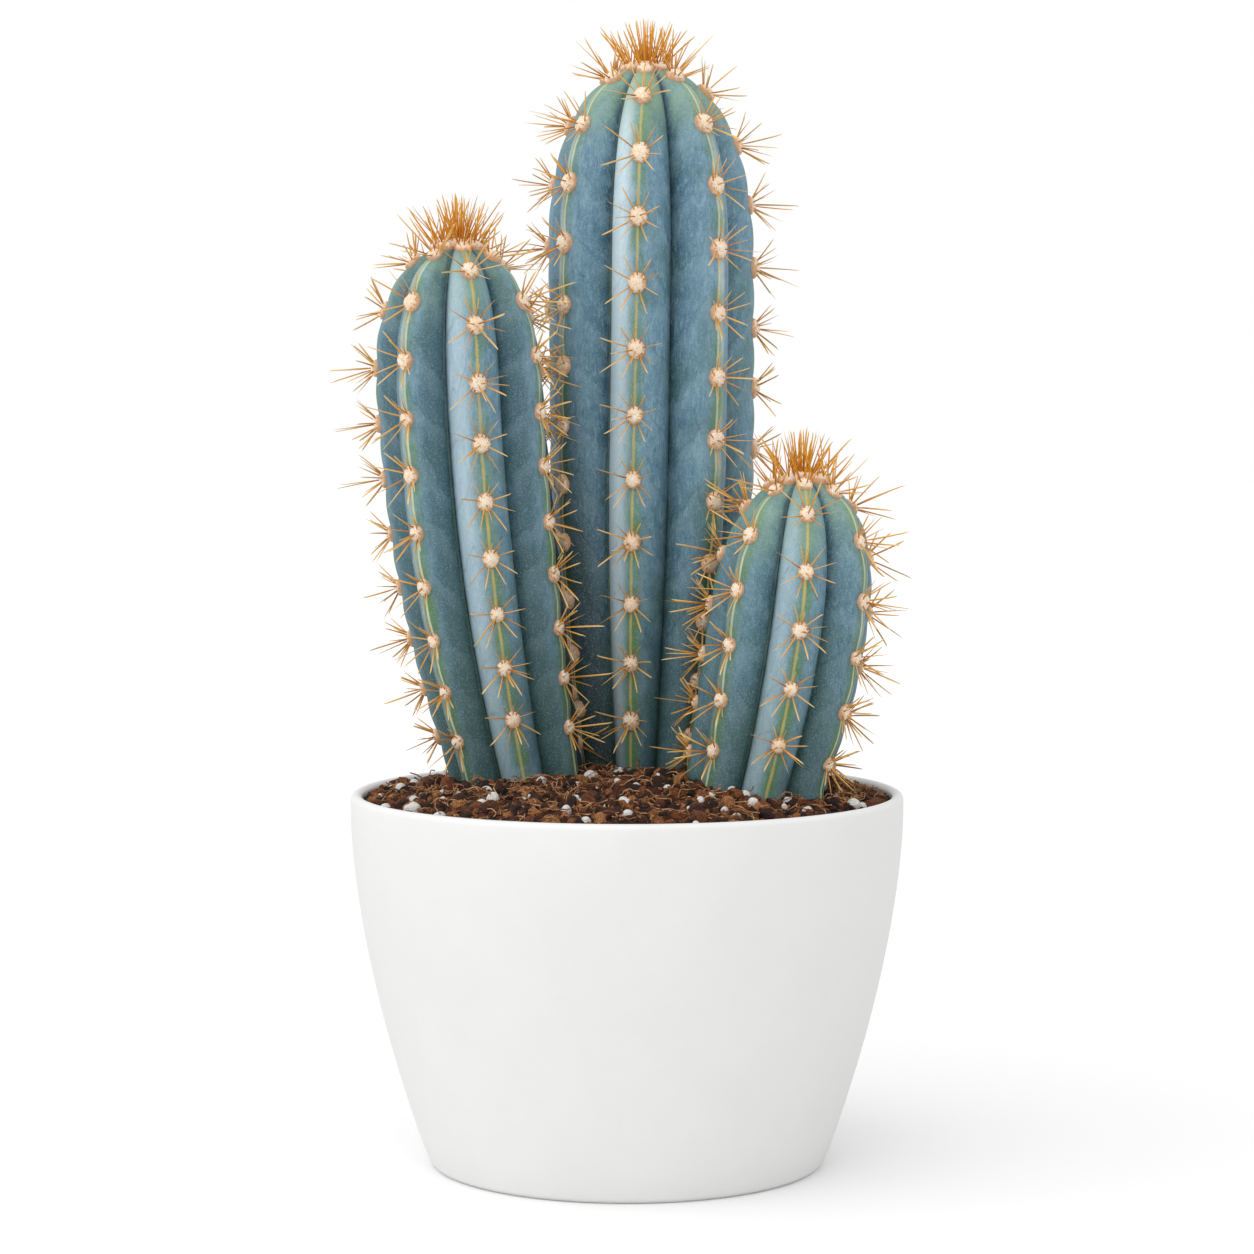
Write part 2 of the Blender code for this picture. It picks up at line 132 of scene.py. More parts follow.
def partsOf(tree, vector):
    made = addNode(tree, "ShaderNodeSeparateXYZ", {"Vector": vector})
    return [Term(tree, socket) for socket in made.outputs]


def vectorMaths(tree, operation, first, second, output="Vector"):
    made = addNode(tree, "ShaderNodeVectorMath", {0: first}, operation=operation)
    feed(tree, second, made.inputs["Scale"] if operation == "SCALE" else made.inputs[1])
    return made.outputs[output]


def noise(tree, vector, size, detail=3.0, roughness=0.5, distortion=0.0):
    # Noise whose lumps are about the given size.
    made = addNode(tree, "ShaderNodeTexNoise", {
        "Vector": vector, "Scale": 1.0 / size, "Detail": detail, "Roughness": roughness,
        "Distortion": distortion,
    })
    return Term(tree, made.outputs[0])


# Geometry tree helpers

def newTree(name, inputs):
    # A geometry tree with a mesh in and out and the named inputs, each with its usual value.
    kinds = {float: "NodeSocketFloat", int: "NodeSocketInt"}
    tree = bpy.data.node_groups.new(name, "GeometryNodeTree")
    tree.interface.new_socket("Geometry", in_out="INPUT", socket_type="NodeSocketGeometry")
    tree.interface.new_socket("Geometry", in_out="OUTPUT", socket_type="NodeSocketGeometry")
    for label, value in inputs.items():
        if isinstance(value, str):
            tree.interface.new_socket(label, in_out="INPUT", socket_type=value)
        else:
            made = tree.interface.new_socket(label, in_out="INPUT", socket_type=kinds[type(value)])
            made.default_value = value
    start = tree.nodes.new("NodeGroupInput")
    given = {socket.name: Term(tree, socket) for socket in start.outputs if socket.name}
    return tree, given


def endTree(tree, geometry, material):
    real = addNode(tree, "GeometryNodeRealizeInstances", {"Geometry": geometry})
    dressed = addNode(tree, "GeometryNodeSetMaterial", {"Geometry": real.outputs[0], "Material": material})
    tree.links.new(dressed.outputs[0], tree.nodes.new("NodeGroupOutput").inputs[0])
    return tree


def keepAs(tree, geometry, name, value, domain="POINT"):
    # Stores a number on the geometry under a name.
    made = addNode(tree, "GeometryNodeStoreNamedAttribute", {"Geometry": geometry, "Name": name},
                   data_type="FLOAT", domain=domain)
    feed(tree, value, made.inputs["Value"])
    return made.outputs[0]


def named(tree, name, kind="FLOAT"):
    made = addNode(tree, "GeometryNodeInputNamedAttribute", {"Name": name}, data_type=kind)
    return made.outputs["Attribute"]


def drawn(tree, low, high, seed):
    # A seeded draw between two numbers.
    made = addNode(tree, "FunctionNodeRandomValue", data_type="FLOAT")
    for label, value in (("Min", low), ("Max", high), ("Seed", seed)):
        feed(tree, value, next(s for s in made.inputs if s.name == label and s.enabled))
    return Term(tree, next(s for s in made.outputs if s.enabled))


def herePlace(tree):
    return geometryNode(tree, "InputPosition")


def hereNormal(tree):
    return geometryNode(tree, "InputNormal")


def moved(tree, geometry, offset):
    return geometryNode(tree, "SetPosition", {"Geometry": geometry, "Offset": offset})


def linked(thing):
    bpy.context.scene.collection.objects.link(thing)
    return thing


def evaluated(source, name):
    # The object's evaluated mesh as a plain piece; the source is removed.
    graph = bpy.context.evaluated_depsgraph_get()
    mesh = bpy.data.meshes.new_from_object(source.evaluated_get(graph), preserve_all_data_layers=True,
                                           depsgraph=graph)
    bpy.data.objects.remove(source, do_unlink=True)
    mesh.name = name
    return linked(bpy.data.objects.new(name, mesh))


def grown(name, tree, values, start=None):
    # Runs a tree on a mesh and keeps the result as a plain mesh.
    source = linked(bpy.data.objects.new(name + "_source", start or bpy.data.meshes.new(name)))
    modifier = source.modifiers.new("grow", "NODES")
    modifier.node_group = tree
    sockets = {s.name: s.identifier for s in tree.interface.items_tree if s.in_out == "INPUT"}
    for label, value in values.items():
        modifier[sockets[label]] = value
    return evaluated(source, name)


def labelled(source, *names):
    # A dictionary's numbers under the names of a tree's inputs: "Foot radius" for footRadius.
    return {re.sub("([A-Z])", r" \1", name).capitalize(): source[name] for name in names or source}


def smooth(piece, angle=180.0):
    piece.data.shade_smooth()
    piece.data.set_sharp_from_angle(angle=math.radians(angle))
    return piece


def pointMesh(name, places, details):
    # Loose points that carry named values for a tree to read.
    mesh = bpy.data.meshes.new(name)
    mesh.from_pydata([tuple(place) for place in places], [], [])
    for label, values in details.items():
        isVector = isinstance(values[0], Vector)
        layer = mesh.attributes.new(label, "FLOAT_VECTOR" if isVector else "FLOAT", "POINT")
        flat = np.array([tuple(v) if isVector else v for v in values], dtype=np.float32).ravel()
        layer.data.foreach_set("vector" if isVector else "value", flat)
    return mesh


def finishPiece(piece, slot, *nodes):
    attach(piece, "root")
    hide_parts(*nodes)
    return piece


# Material helpers

def newMaterial(name):
    material = bpy.data.materials.new(name)
    material.use_nodes = True
    return material, material.node_tree


def finished(material, tone, roughness, height, distance, strength):
    # Joins a colour, a roughness and a bump to the material's shader.
    tree = material.node_tree
    inputs = tree.nodes["Principled BSDF"].inputs
    feed(tree, tone, inputs["Base Color"])
    feed(tree, roughness, inputs["Roughness"])
    bump = addNode(tree, "ShaderNodeBump", {"Height": height, "Distance": distance, "Strength": strength})
    tree.links.new(bump.outputs[0], inputs["Normal"])
    return material


def objectPlace(tree, scale=(1.0, 1.0, 1.0)):
    # Object coordinates, squeezed or stretched.
    place = addNode(tree, "ShaderNodeTexCoord").outputs["Object"]
    return addNode(tree, "ShaderNodeMapping", {"Vector": place, "Scale": scale}).outputs[0]


def mixed(tree, share, first, second, blend="MIX"):
    made = addNode(tree, "ShaderNodeMix", {0: share, 6: first, 7: second}, data_type="RGBA", blend_type=blend)
    return made.outputs[2]


def colour(text):
    # A screen colour such as 6F95A8 as linear light.
    parts = [int(text[i:i + 2], 16) / 255 for i in (0, 2, 4)]
    return tuple(c / 12.92 if c < 0.04045 else ((c + 0.055) / 1.055) ** 2.4 for c in parts) + (1.0,)


def colourRamp(tree, value, *stops):
    made = addNode(tree, "ShaderNodeValToRGB", {"Fac": value})
    elements = made.color_ramp.elements
    while len(elements) < len(stops):
        elements.new(0.5)
    for element, (position, text) in zip(elements, stops):
        element.position = position
        element.color = colour(text)
    return made.outputs[0]


def painted(tree, base, *layers):
    # Lays colours over a base, each as (how much of it, its colour).
    for share, tone in layers:
        base = mixed(tree, share, base, colour(tone))
    return base


def carried(tree, name):
    made = addNode(tree, "ShaderNodeAttribute", attribute_name=name)
    return Term(tree, made.outputs["Fac"])


def makeGrainGroup():
    # Fine grain and soft blotches that several finishes share, as values from 0 to 1.
    group = bpy.data.node_groups.new("grainAndBlotches", "ShaderNodeTree")
    for label, value in (("Grain size", 0.4 * mm), ("Blotch size", 7.0 * mm)):
        made = group.interface.new_socket(label, in_out="INPUT", socket_type="NodeSocketFloat")
        made.default_value = value
    for label in ("Grain", "Blotches"):
        group.interface.new_socket(label, in_out="OUTPUT", socket_type="NodeSocketFloat")
    start = group.nodes.new("NodeGroupInput")
    end = group.nodes.new("NodeGroupOutput")
    place = objectPlace(group)
    for label, size, detail in (("Grain", "Grain size", 2.0), ("Blotches", "Blotch size", 4.0)):
        found = noise(group, place, Term(group, start.outputs[size]), detail, 0.6)
        feed(group, ramped(group, found, 0.3, 0.7), end.inputs[label])
    return group


grainGroup = makeGrainGroup()


def grainAndBlotches(tree, grainSize, blotchSize):
    made = tree.nodes.new("ShaderNodeGroup")
    made.node_tree = grainGroup
    made.inputs["Grain size"].default_value = grainSize
    made.inputs["Blotch size"].default_value = blotchSize
    return Term(tree, made.outputs["Grain"]), Term(tree, made.outputs["Blotches"])


# Camera, floor and light

view = {
    "place": (0.0, -0.9915, 0.2214),
    "tilt": 0.066,  # radians below level
    "lens": 98.6,
}

studio = {
    "floorSize": 16.0,
    "floorShade": 0.95,
    "floorBounce": 0.74,
    "floorGlow": 0.05,
    "sky": 0.8,
    "backdrop": 1.0,
    "sun": 1.12,
    "sunSoftness": 85.0,
    "sunAzimuth": -48.0,
    "sunHeight": 50.0,
}


def makeCamera():
    data = bpy.data.cameras.new("camera")
    data.lens = view["lens"]
    data.clip_end = 100.0
    camera = linked(bpy.data.objects.new("camera", data))
    camera.location = view["place"]
    camera.rotation_euler = (math.pi / 2 - view["tilt"], 0.0, 0.0)
    bpy.context.scene.camera = camera


def makeStudio():
    scene = bpy.context.scene
    scene.view_settings.view_transform = "Standard"
    world = bpy.data.worlds.new("studio")
    world.use_nodes = True
    tree = world.node_tree
    sky = tree.nodes["Background"]
    sky.inputs["Color"].default_value = (1.0, 1.0, 1.0, 1.0)
    seen = tree.nodes.new("ShaderNodeLightPath").outputs["Is Camera Ray"]
    strength = studio["sky"] + Term(tree, seen) * (studio["backdrop"] - studio["sky"])
    feed(tree, strength, sky.inputs["Strength"])
    scene.world = world
    data = bpy.data.lights.new("sun", "SUN")
    data.energy = studio["sun"]
    data.angle = math.radians(studio["sunSoftness"])
    light = linked(bpy.data.objects.new("sun", data))
    azimuth, height = math.radians(studio["sunAzimuth"]), math.radians(studio["sunHeight"])
    across = math.cos(height)
    aim = Vector((-math.sin(azimuth) * across, math.cos(azimuth) * across, -math.sin(height)))
    light.rotation_euler = aim.to_track_quat("-Z", "Y").to_euler()
    material, tree = newMaterial("paleFloor")
    shader = tree.nodes["Principled BSDF"]
    shader.inputs["Roughness"].default_value = 0.9
    seen = tree.nodes.new("ShaderNodeLightPath").outputs["Is Camera Ray"]
    shade = studio["floorBounce"] + Term(tree, seen) * (studio["floorShade"] - studio["floorBounce"])
    feed(tree, shade, shader.inputs["Base Color"])
    shader.inputs["Emission Color"].default_value = (1.0, 1.0, 1.0, 1.0)
    shader.inputs["Emission Strength"].default_value = studio["floorGlow"]
    half = studio["floorSize"] / 2
    mesh = bpy.data.meshes.new("floor")
    mesh.from_pydata([(-half, -half, 0), (half, -half, 0), (half, half, 0), (-half, half, 0)], [],
                     [(0, 1, 2, 3)])
    mesh.materials.append(material)
    linked(bpy.data.objects.new("floor", mesh))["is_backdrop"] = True


makeCamera()
makeStudio()
print("camera, floor and light made")


# Pot

pot = {
    "height": 108.2 * mm,
    "rimRadius": 80.0 * mm,
    "footRadius": 59.4 * mm,
    "footHeight": 5.7 * mm,
    "footCorner": 2.6 * mm,
    "wall": 3.4 * mm,
    "uprightAbove": 103.0 * mm,
    "wallCurve": 1.656,
    "floor": 4.0 * mm,
    "insideCorner": 6.0 * mm,
    "drainRadius": 4.0 * mm,
    "drainRing": 32.0 * mm,
    "drains": 4,
    "steps": 160,
    "wallRows": 36,
}


def potWall(height):
    # The outer wall's radius: near upright at the rim, slanting in more and more towards the foot.
    drop = max(0.0, pot["uprightAbove"] - height) / (pot["uprightAbove"] - pot["footHeight"])
    return pot["rimRadius"] - (pot["rimRadius"] - pot["footRadius"]) * drop ** pot["wallCurve"]


def arc(x, z, radius, start, end, count):
    angles = [math.radians(start + (end - start) * i / (count - 1)) for i in range(count)]
    return [(x + radius * math.cos(a), z + radius * math.sin(a)) for a in angles]


def heightsBetween(low, high, count):
    return [low + (high - low) * i / count for i in range(count + 1)]


def insideOutline():
    corner = pot["insideCorner"]
    foot = pot["floor"] + corner
    outline = arc(potWall(foot) - pot["wall"] - corner, foot, corner, -90.0, 0.0, 8)
    heights = heightsBetween(foot, pot["height"] - pot["wall"] / 2, pot["wallRows"])
    return outline + [(potWall(z) - pot["wall"], z) for z in heights[1:]]


def turned(name, outline, steps):
    # An outline of (radius, height) points turned about the upright axis.
    mesh = bpy.data.meshes.new(name)
    edges = [(i, i + 1) for i in range(len(outline) - 1)]
    mesh.from_pydata([(x, 0.0, z) for x, z in outline], edges, [])
    thing = linked(bpy.data.objects.new(name, mesh))
    screw = thing.modifiers.new("turn", "SCREW")
    screw.steps = steps
    screw.render_steps = steps
    screw.use_merge_vertices = True
    screw.merge_threshold = 0.01 * mm
    screw.use_normal_calculate = True
    return thing


def potFinish():
    # Satin white plastic: even, with the faintest unevenness and a little dust in the grain.
    material, tree = newMaterial("whitePot")
    grain, blotches = grainAndBlotches(tree, 0.35 * mm, 26.0 * mm)
    base = mixed(tree, blotches * 0.5, colour("F0F0EF"), colour("F5F5F5"))
    base = painted(tree, base, (grain * 0.08, "E2E1DF"))
    return finished(material, base, 0.33 + blotches * 0.06 + grain * 0.04,
                    blotches * 0.7 + grain * 0.3, 0.03 * mm, 0.5)


def makePot():
    lip = pot["wall"] / 2
    outline = [(0.0, pot["floor"])] + insideOutline()
    outline += arc(pot["rimRadius"] - lip, pot["height"] - lip, lip, 180.0, 0.0, 14)[1:]
    heights = heightsBetween(pot["footHeight"], pot["uprightAbove"], pot["wallRows"])
    outline += [(potWall(z), z) for z in reversed(heights)]
    corner = pot["footCorner"]
    outline += arc(potWall(0.0) - corner + 0.4 * mm, corner, corner, -15.0, -90.0, 9)
    outline += [(0.0, 0.0)]
    body = turned("pot_white", outline, pot["steps"])
    cutters = []
    for i in range(pot["drains"]):
        angle = 2 * math.pi * (i + 0.5) / pot["drains"]
        reach = pot["drainRing"]
        rod = turned("drain", [(0.0, -pot["floor"]), (pot["drainRadius"], -pot["floor"]),
                               (pot["drainRadius"], 2 * pot["floor"]), (0.0, 2 * pot["floor"])], 40)
        rod.location = (reach * math.cos(angle), reach * math.sin(angle), 0.0)
        cut = body.modifiers.new("drain", "BOOLEAN")
        cut.operation = "DIFFERENCE"
        cut.object = rod
        cutters.append(rod)
    bpy.context.view_layer.update()
    piece = smooth(evaluated(body, "pot_white"), 40.0)
    for rod in cutters:
        bpy.data.objects.remove(rod, do_unlink=True)
    piece.data.materials.clear()
    piece.data.materials.append(potFinish())
    finishPiece(piece, "pot", "pot")


makePot()
print("pot made")


# The potting mix's sizes, which the stems, their areoles and their spines also keep to

mix = {
    "edge": 105.2 * mm,
    "mound": 7.6 * mm,  # how much higher its middle is than its edge
    "moundReach": 76.6 * mm,
    "lump": 1.7 * mm,
    "gap": 0.3 * mm,
    "sideStopsBelow": 4.0 * mm,
    "rings": 90,
    "steps": 260,
    "roughDepth": 1.6 * mm,
    "roughSize": 2.4 * mm,
    "reach": 75.2 * mm,
}


# Stems: the rule that gives their shape, with each stem's own sizes

heightUnit = 100.0 * mm

ribs = {
    "count": 7,
    "columns": 24,  # points across one rib
    "valleyDepth": 0.32,
    "fullness": 0.75,
    "domeFullness": 2.3,
    "bottom": 81.2 * mm,
    "bottomRounding": 9.0 * mm,
    "straightBelow": 111.0 * mm,
    "closeReach": 14.0 * mm,
    "soilEdge": mix["edge"],
    "soilTop": mix["edge"] + mix["mound"],
    "fadeDepth": 7.0 * mm,
    "footShare": 0.06,
    "domeShare": 0.66,
    "notchDepth": 0.7 * mm,
    "notchReach": 4.6 * mm,
}

# Axis x and y: place at middleHeight, lean and bend for each 100 mm up. ribRows: for each rib in
# turn, how far down the crest from the tip its first areole sits, and the areoles' spacing.
# Each stem's shades set how strong its painted flank shade, its painted light on the front rib and its green
# tip are.
stems = {
    "tall": {
        "top": 319.0 * mm,
        "middleHeight": 215.0 * mm,
        "axisX": (6.85 * mm, 0.1 * mm, -0.9 * mm),
        "axisY": (28.0 * mm, 0.0, 0.0),
        "crestRadius": 30.9 * mm,
        "footRadius": 20.8 * mm,
        "fullHeight": 208.0 * mm,
        "footEase": 1.0,
        "domeHeight": 57.0 * mm,
        "frontRib": -9.0,
        "twist": 4.2,
        "gather": 5.0,  # degrees that the side ribs are drawn towards the front one
        "rows": 220,
        "ribRows": ((21.9, 19.2), (12.8, 18.8), (18.9, 18.3), (11.6, 18.6), (20.0, 18.8), (12.0, 18.4),
                    (13.5, 17.9)),
        "padSize": 1.03,
        "shades": {"deep": 0.12, "tip": 0.4, "pale": 1.0},
        "seed": 3,
    },
    "left": {
        "top": 265.6 * mm,
        "middleHeight": 190.0 * mm,
        "axisX": (-44.6 * mm, -10.5 * mm, 7.3 * mm),
        "axisY": (2.3 * mm, -8.3 * mm, 0.0),
        "crestRadius": 25.0 * mm,
        "footRadius": 20.4 * mm,
        "fullHeight": 190.0 * mm,
        "footEase": 1.0,
        "domeHeight": 43.6 * mm,
        "frontRib": 11.5,
        "twist": 5.1,
        "gather": 0.0,
        "rows": 180,
        "ribRows": ((17.4, 16.9), (11.5, 16.1), (16.0, 16.5), (11.5, 16.3), (18.0, 16.6), (14.2, 16.5),
                    (11.0, 16.7)),
        "padSize": 0.9,
        "shades": {"deep": 0.75, "tip": 0.1, "pale": 0.55},
        "seed": 5,
    },
    "right": {
        "top": 199.2 * mm,
        "middleHeight": 155.0 * mm,
        "axisX": (46.1 * mm, 14.1 * mm, -13.6 * mm),
        "axisY": (-12.0 * mm, 0.0, 0.0),
        "crestRadius": 23.8 * mm,
        "footRadius": 21.3 * mm,
        "fullHeight": 150.0 * mm,
        "footEase": 1.0,
        "domeHeight": 41.3 * mm,
        "frontRib": 4.6,
        "twist": -0.8,
        "gather": 0.0,
        "rows": 140,
        "ribRows": ((19.9, 17.3), (12.0, 16.9), (18.0, 16.2), (11.5, 16.4), (19.0, 16.0), (18.3, 15.2),
                    (11.0, 16.2)),
        "padSize": 0.88,
        "shades": {"deep": 0.15, "tip": 0.3, "pale": 0.5},
        "seed": 7,
    },
}


def eased(value):
    value = max(0.0, min(1.0, value))
    return value * value * (3.0 - 2.0 * value)


def roundedEnd(distance, size):
    share = max(0.0, min(1.0, distance / size))
    return (1.0 - share ** ribs["domeFullness"]) ** (1.0 / ribs["domeFullness"])


def axisPoint(stem, height):
    t = (max(height, ribs["straightBelow"]) - stem["middleHeight"]) / heightUnit
    x, y = (a + b * t + c * t * t for a, b, c in (stem["axisX"], stem["axisY"]))
    return Vector((x, y, height))


def crestRadius(stem, height):
    share = (height - ribs["soilTop"]) / (stem["fullHeight"] - ribs["soilTop"])
    swell = math.sin(math.pi / 2 * max(0.0, min(1.0, share))) ** stem["footEase"]
    body = stem["footRadius"] + (stem["crestRadius"] - stem["footRadius"]) * swell
    return body * roundedEnd(height - (stem["top"] - stem["domeHeight"]), stem["domeHeight"])


def ribAzimuth(stem, rib, height):
    turn = stem["twist"] * (height - stem["middleHeight"]) / heightUnit
    around = rib * 360.0 / ribs["count"]
    gathered = around - stem["gather"] * math.sin(math.radians(around))
    return math.radians(stem["frontRib"] + turn + gathered)


def outward(angle):
    return Vector((math.sin(angle), -math.cos(angle), 0.0))


def crestPoint(stem, rib, height):
    return axisPoint(stem, height) + outward(ribAzimuth(stem, rib, height)) * crestRadius(stem, height)


def skinRadius(stem, height, angle):
    # How far the skin lies from the axis in a direction.
    offset = angle - ribAzimuth(stem, 0, height)
    offset += math.radians(stem["gather"]) * math.sin(offset)
    share = abs(math.cos(offset * ribs["count"] / 2)) ** ribs["fullness"]
    depth = ribs["valleyDepth"] * eased((height - ribs["soilEdge"] + ribs["fadeDepth"]) / ribs["fadeDepth"])
    return crestRadius(stem, height) * (1.0 - depth * (1.0 - share))


def stemValues(stem):
    values = labelled(stem, "top", "middleHeight", "crestRadius", "footRadius", "fullHeight", "footEase",
                      "domeHeight", "frontRib", "twist", "gather", "rows")
    values.update(zip(("Axis x", "Lean x", "Bend x"), stem["axisX"]))
    values.update(zip(("Axis y", "Lean y"), stem["axisY"]))
    values.update(labelled(ribs, *(name for name in ribs if name != "closeReach")))
    return values


def stemTree():
    # The ribbed column: a sphere's points moved by the same rule as above.
    tree, given = newTree("ribbedStem", {
        **stemValues(stems["tall"]), "Areoles": "NodeSocketObject", "Material": "NodeSocketMaterial",
    })

    def get(label):
        return given[label]

    def at(operation, *values):
        return maths(tree, operation, *values)

    ribCount = get("Count")
    ball = geometryNode(tree, "MeshUVSphere", {
        "Segments": ribCount * get("Columns"), "Rings": get("Rows"), "Radius": 1.0,
    })
    x, y, z = partsOf(tree, herePlace(tree))
    share = 1.0 - at("ARCCOSINE", clamped(tree, z, -1.0, 1.0)) / math.pi
    around = at("ARCTAN2", y, x)
    domeStart = get("Top") - get("Dome height")
    footTurn = clamped(tree, share / get("Foot share")) * (math.pi / 2)
    bodyShare = clamped(tree, (share - get("Foot share")) / (get("Dome share") - get("Foot share")))
    domeTurn = clamped(tree, (share - get("Dome share")) / (1.0 - get("Dome share"))) * (math.pi / 2)
    height = get("Bottom") + get("Bottom rounding") * (1.0 - at("COSINE", footTurn))
    height = height + (domeStart - get("Bottom") - get("Bottom rounding")) * bodyShare
    height = height + get("Dome height") * at("SINE", domeTurn)

    def rounded(distance, size):
        return (1.0 - clamped(tree, distance / size) ** get("Dome fullness")) ** (1.0 / get("Dome fullness"))

    swellShare = clamped(tree, (height - get("Soil top")) / (get("Full height") - get("Soil top")))
    swell = at("SINE", swellShare * (math.pi / 2)) ** get("Foot ease")
    crest = get("Foot radius") + (get("Crest radius") - get("Foot radius")) * swell
    crest = crest * rounded(height - domeStart, get("Dome height"))
    crest = crest * rounded(get("Bottom") + get("Bottom rounding") - height, get("Bottom rounding"))
    azimuth = get("Front rib") + get("Twist") * (height - get("Middle height")) / heightUnit
    azimuth = azimuth * (math.pi / 180) + around - get("Gather") * (math.pi / 180) * at("SINE", around)
    ribShare = at("ABSOLUTE", at("COSINE", around * ribCount * 0.5)) ** get("Fullness")
    fade = ramped(tree, height, get("Soil edge") - get("Fade depth"), get("Soil edge"))
    radius = crest * (1.0 - get("Valley depth") * fade * (1.0 - ribShare))
    t = (at("MAXIMUM", height, get("Straight below")) - get("Middle height")) / heightUnit
    placeX = get("Axis x") + get("Lean x") * t + get("Bend x") * t * t + radius * at("SINE", azimuth)
    placeY = get("Axis y") + get("Lean y") * t - radius * at("COSINE", azimuth)
    oneRib = 2 * math.pi / ribCount
    rib = at("ROUND", around / oneRib)
    shape = keepAs(tree, ball, "crest", ribShare)
    shape = keepAs(tree, shape, "rib", rib)
    shape = keepAs(tree, shape, "side", crest * (around - rib * oneRib))
    shape = keepAs(tree, shape, "fromTop", get("Top") - height)
    shape = keepAs(tree, shape, "fromSoil", height - get("Soil top"))
    shape = geometryNode(tree, "SetPosition", {
        "Geometry": shape, "Position": vectorOf(tree, placeX, placeY, height),
    })
    # The skin dips a little where an areole sits.
    dots = addNode(tree, "GeometryNodeObjectInfo", {"Object": get("Areoles")}).outputs["Geometry"]
    near = addNode(tree, "GeometryNodeProximity", {0: dots}, target_element="POINTS")
    gapShare = Term(tree, near.outputs["Distance"]) / get("Notch reach")
    dip = at("EXPONENT", gapShare * gapShare * -1.0) * get("Notch depth") * -1.0
    shape = moved(tree, shape, vectorMaths(tree, "SCALE", hereNormal(tree), dip))
    return endTree(tree, shape, get("Material"))


def crestWalk(stem, rib):
    # Steps down a rib's crest from the tip: how far along it, and the height.
    height = stem["top"]
    point = crestPoint(stem, rib, height)
    travelled = 0.0
    while height > ribs["soilTop"] - ribs["fadeDepth"]:
        height -= (0.05 if stem["top"] - height < 6.0 * mm else 0.5) * mm
        following = crestPoint(stem, rib, height)
        travelled += (following - point).length
        point = following
        yield travelled, height


areoles = {
    "firstArc": 10.5 * mm,  # nothing nearer the tip than this but the crown's own
    "crowding": 0.12,  # how much closer they sit at the foot
    "aboveSoil": 4.0 * mm,
    "radius": 2.75 * mm,
    "long": 1.14,
    "rise": 2.3 * mm,
    "sizeSpread": 0.08,
    "smallerAtFoot": 0.15,
    "fineness": 3,
    "lumps": 0.75 * mm,
    "lumpSize": 1.1 * mm,
}


def soilLevel(radius):
    share = min(1.0, radius / mix["moundReach"])
    return mix["edge"] + mix["mound"] * (1.0 - share * share)


def areoleHeights(stem, rib):
    # The height of each areole on a rib, from the top down.
    first, spacing = (value * mm for value in stem["ribRows"][rib])
    wanted = first
    whole = stem["top"] - ribs["soilEdge"]
    heights = []
    for travelled, height in crestWalk(stem, rib):
        if travelled < wanted:
            continue
        if height < soilLevel(crestPoint(stem, rib, height).xy.length) + areoles["aboveSoil"]:
            break
        if wanted >= areoles["firstArc"]:
            heights.append(height)
        wanted += spacing * (1.0 - areoles["crowding"] * (travelled / whole) ** 2)
    return heights


def areoleFrame(stem, rib, height):
    # The crest point, with unit vectors off the skin, up the crest, and sideways.
    low = crestPoint(stem, rib, height - 0.5 * mm)
    high = crestPoint(stem, rib, min(height + 0.5 * mm, stem["top"]))
    up = (high - low).normalized()
    away = outward(ribAzimuth(stem, rib, height))
    away = (away - up * away.dot(up)).normalized()
    return crestPoint(stem, rib, height), away, up, up.cross(away)


def areoleFrames(stem):
    return [
        areoleFrame(stem, rib, height) for rib in range(ribs["count"]) for height in areoleHeights(stem, rib)
    ]


skinColours = {
    "shadedValleyToCrest": ((0.0, "12262D"), (0.1, "2C4D5B"), (0.3, "43687C"), (0.6, "5F8AA3"), (0.85, "7099B1"),
                      (1.0, "7BA0B3")),
    "streaks": "517A90",
    "paleVeins": "93B5C6",
    "darkVeins": "3C6474",
    "blotches": "97B9C9",
    "clouds": "4F7565",
    "rimHighlights": "D3DFDA",
    "frontPaintedLight": "D3EAF3",
    "shadedFlanks": "3B5F66",
    "folds": "9CBCCC",
    "creaseShade": "355866",
    "besideCrest": "5F8A4E",
    "tip": "94B58F",
    "foot": "36584A",
    "shadeBetweenStems": "111C17",
    "sideCrestLine": "D9DCB4",
    "frontCrestLine": "CDB962",
    "paleDots": "B9D0DA",
    "darkDots": "3B5E6C",
}


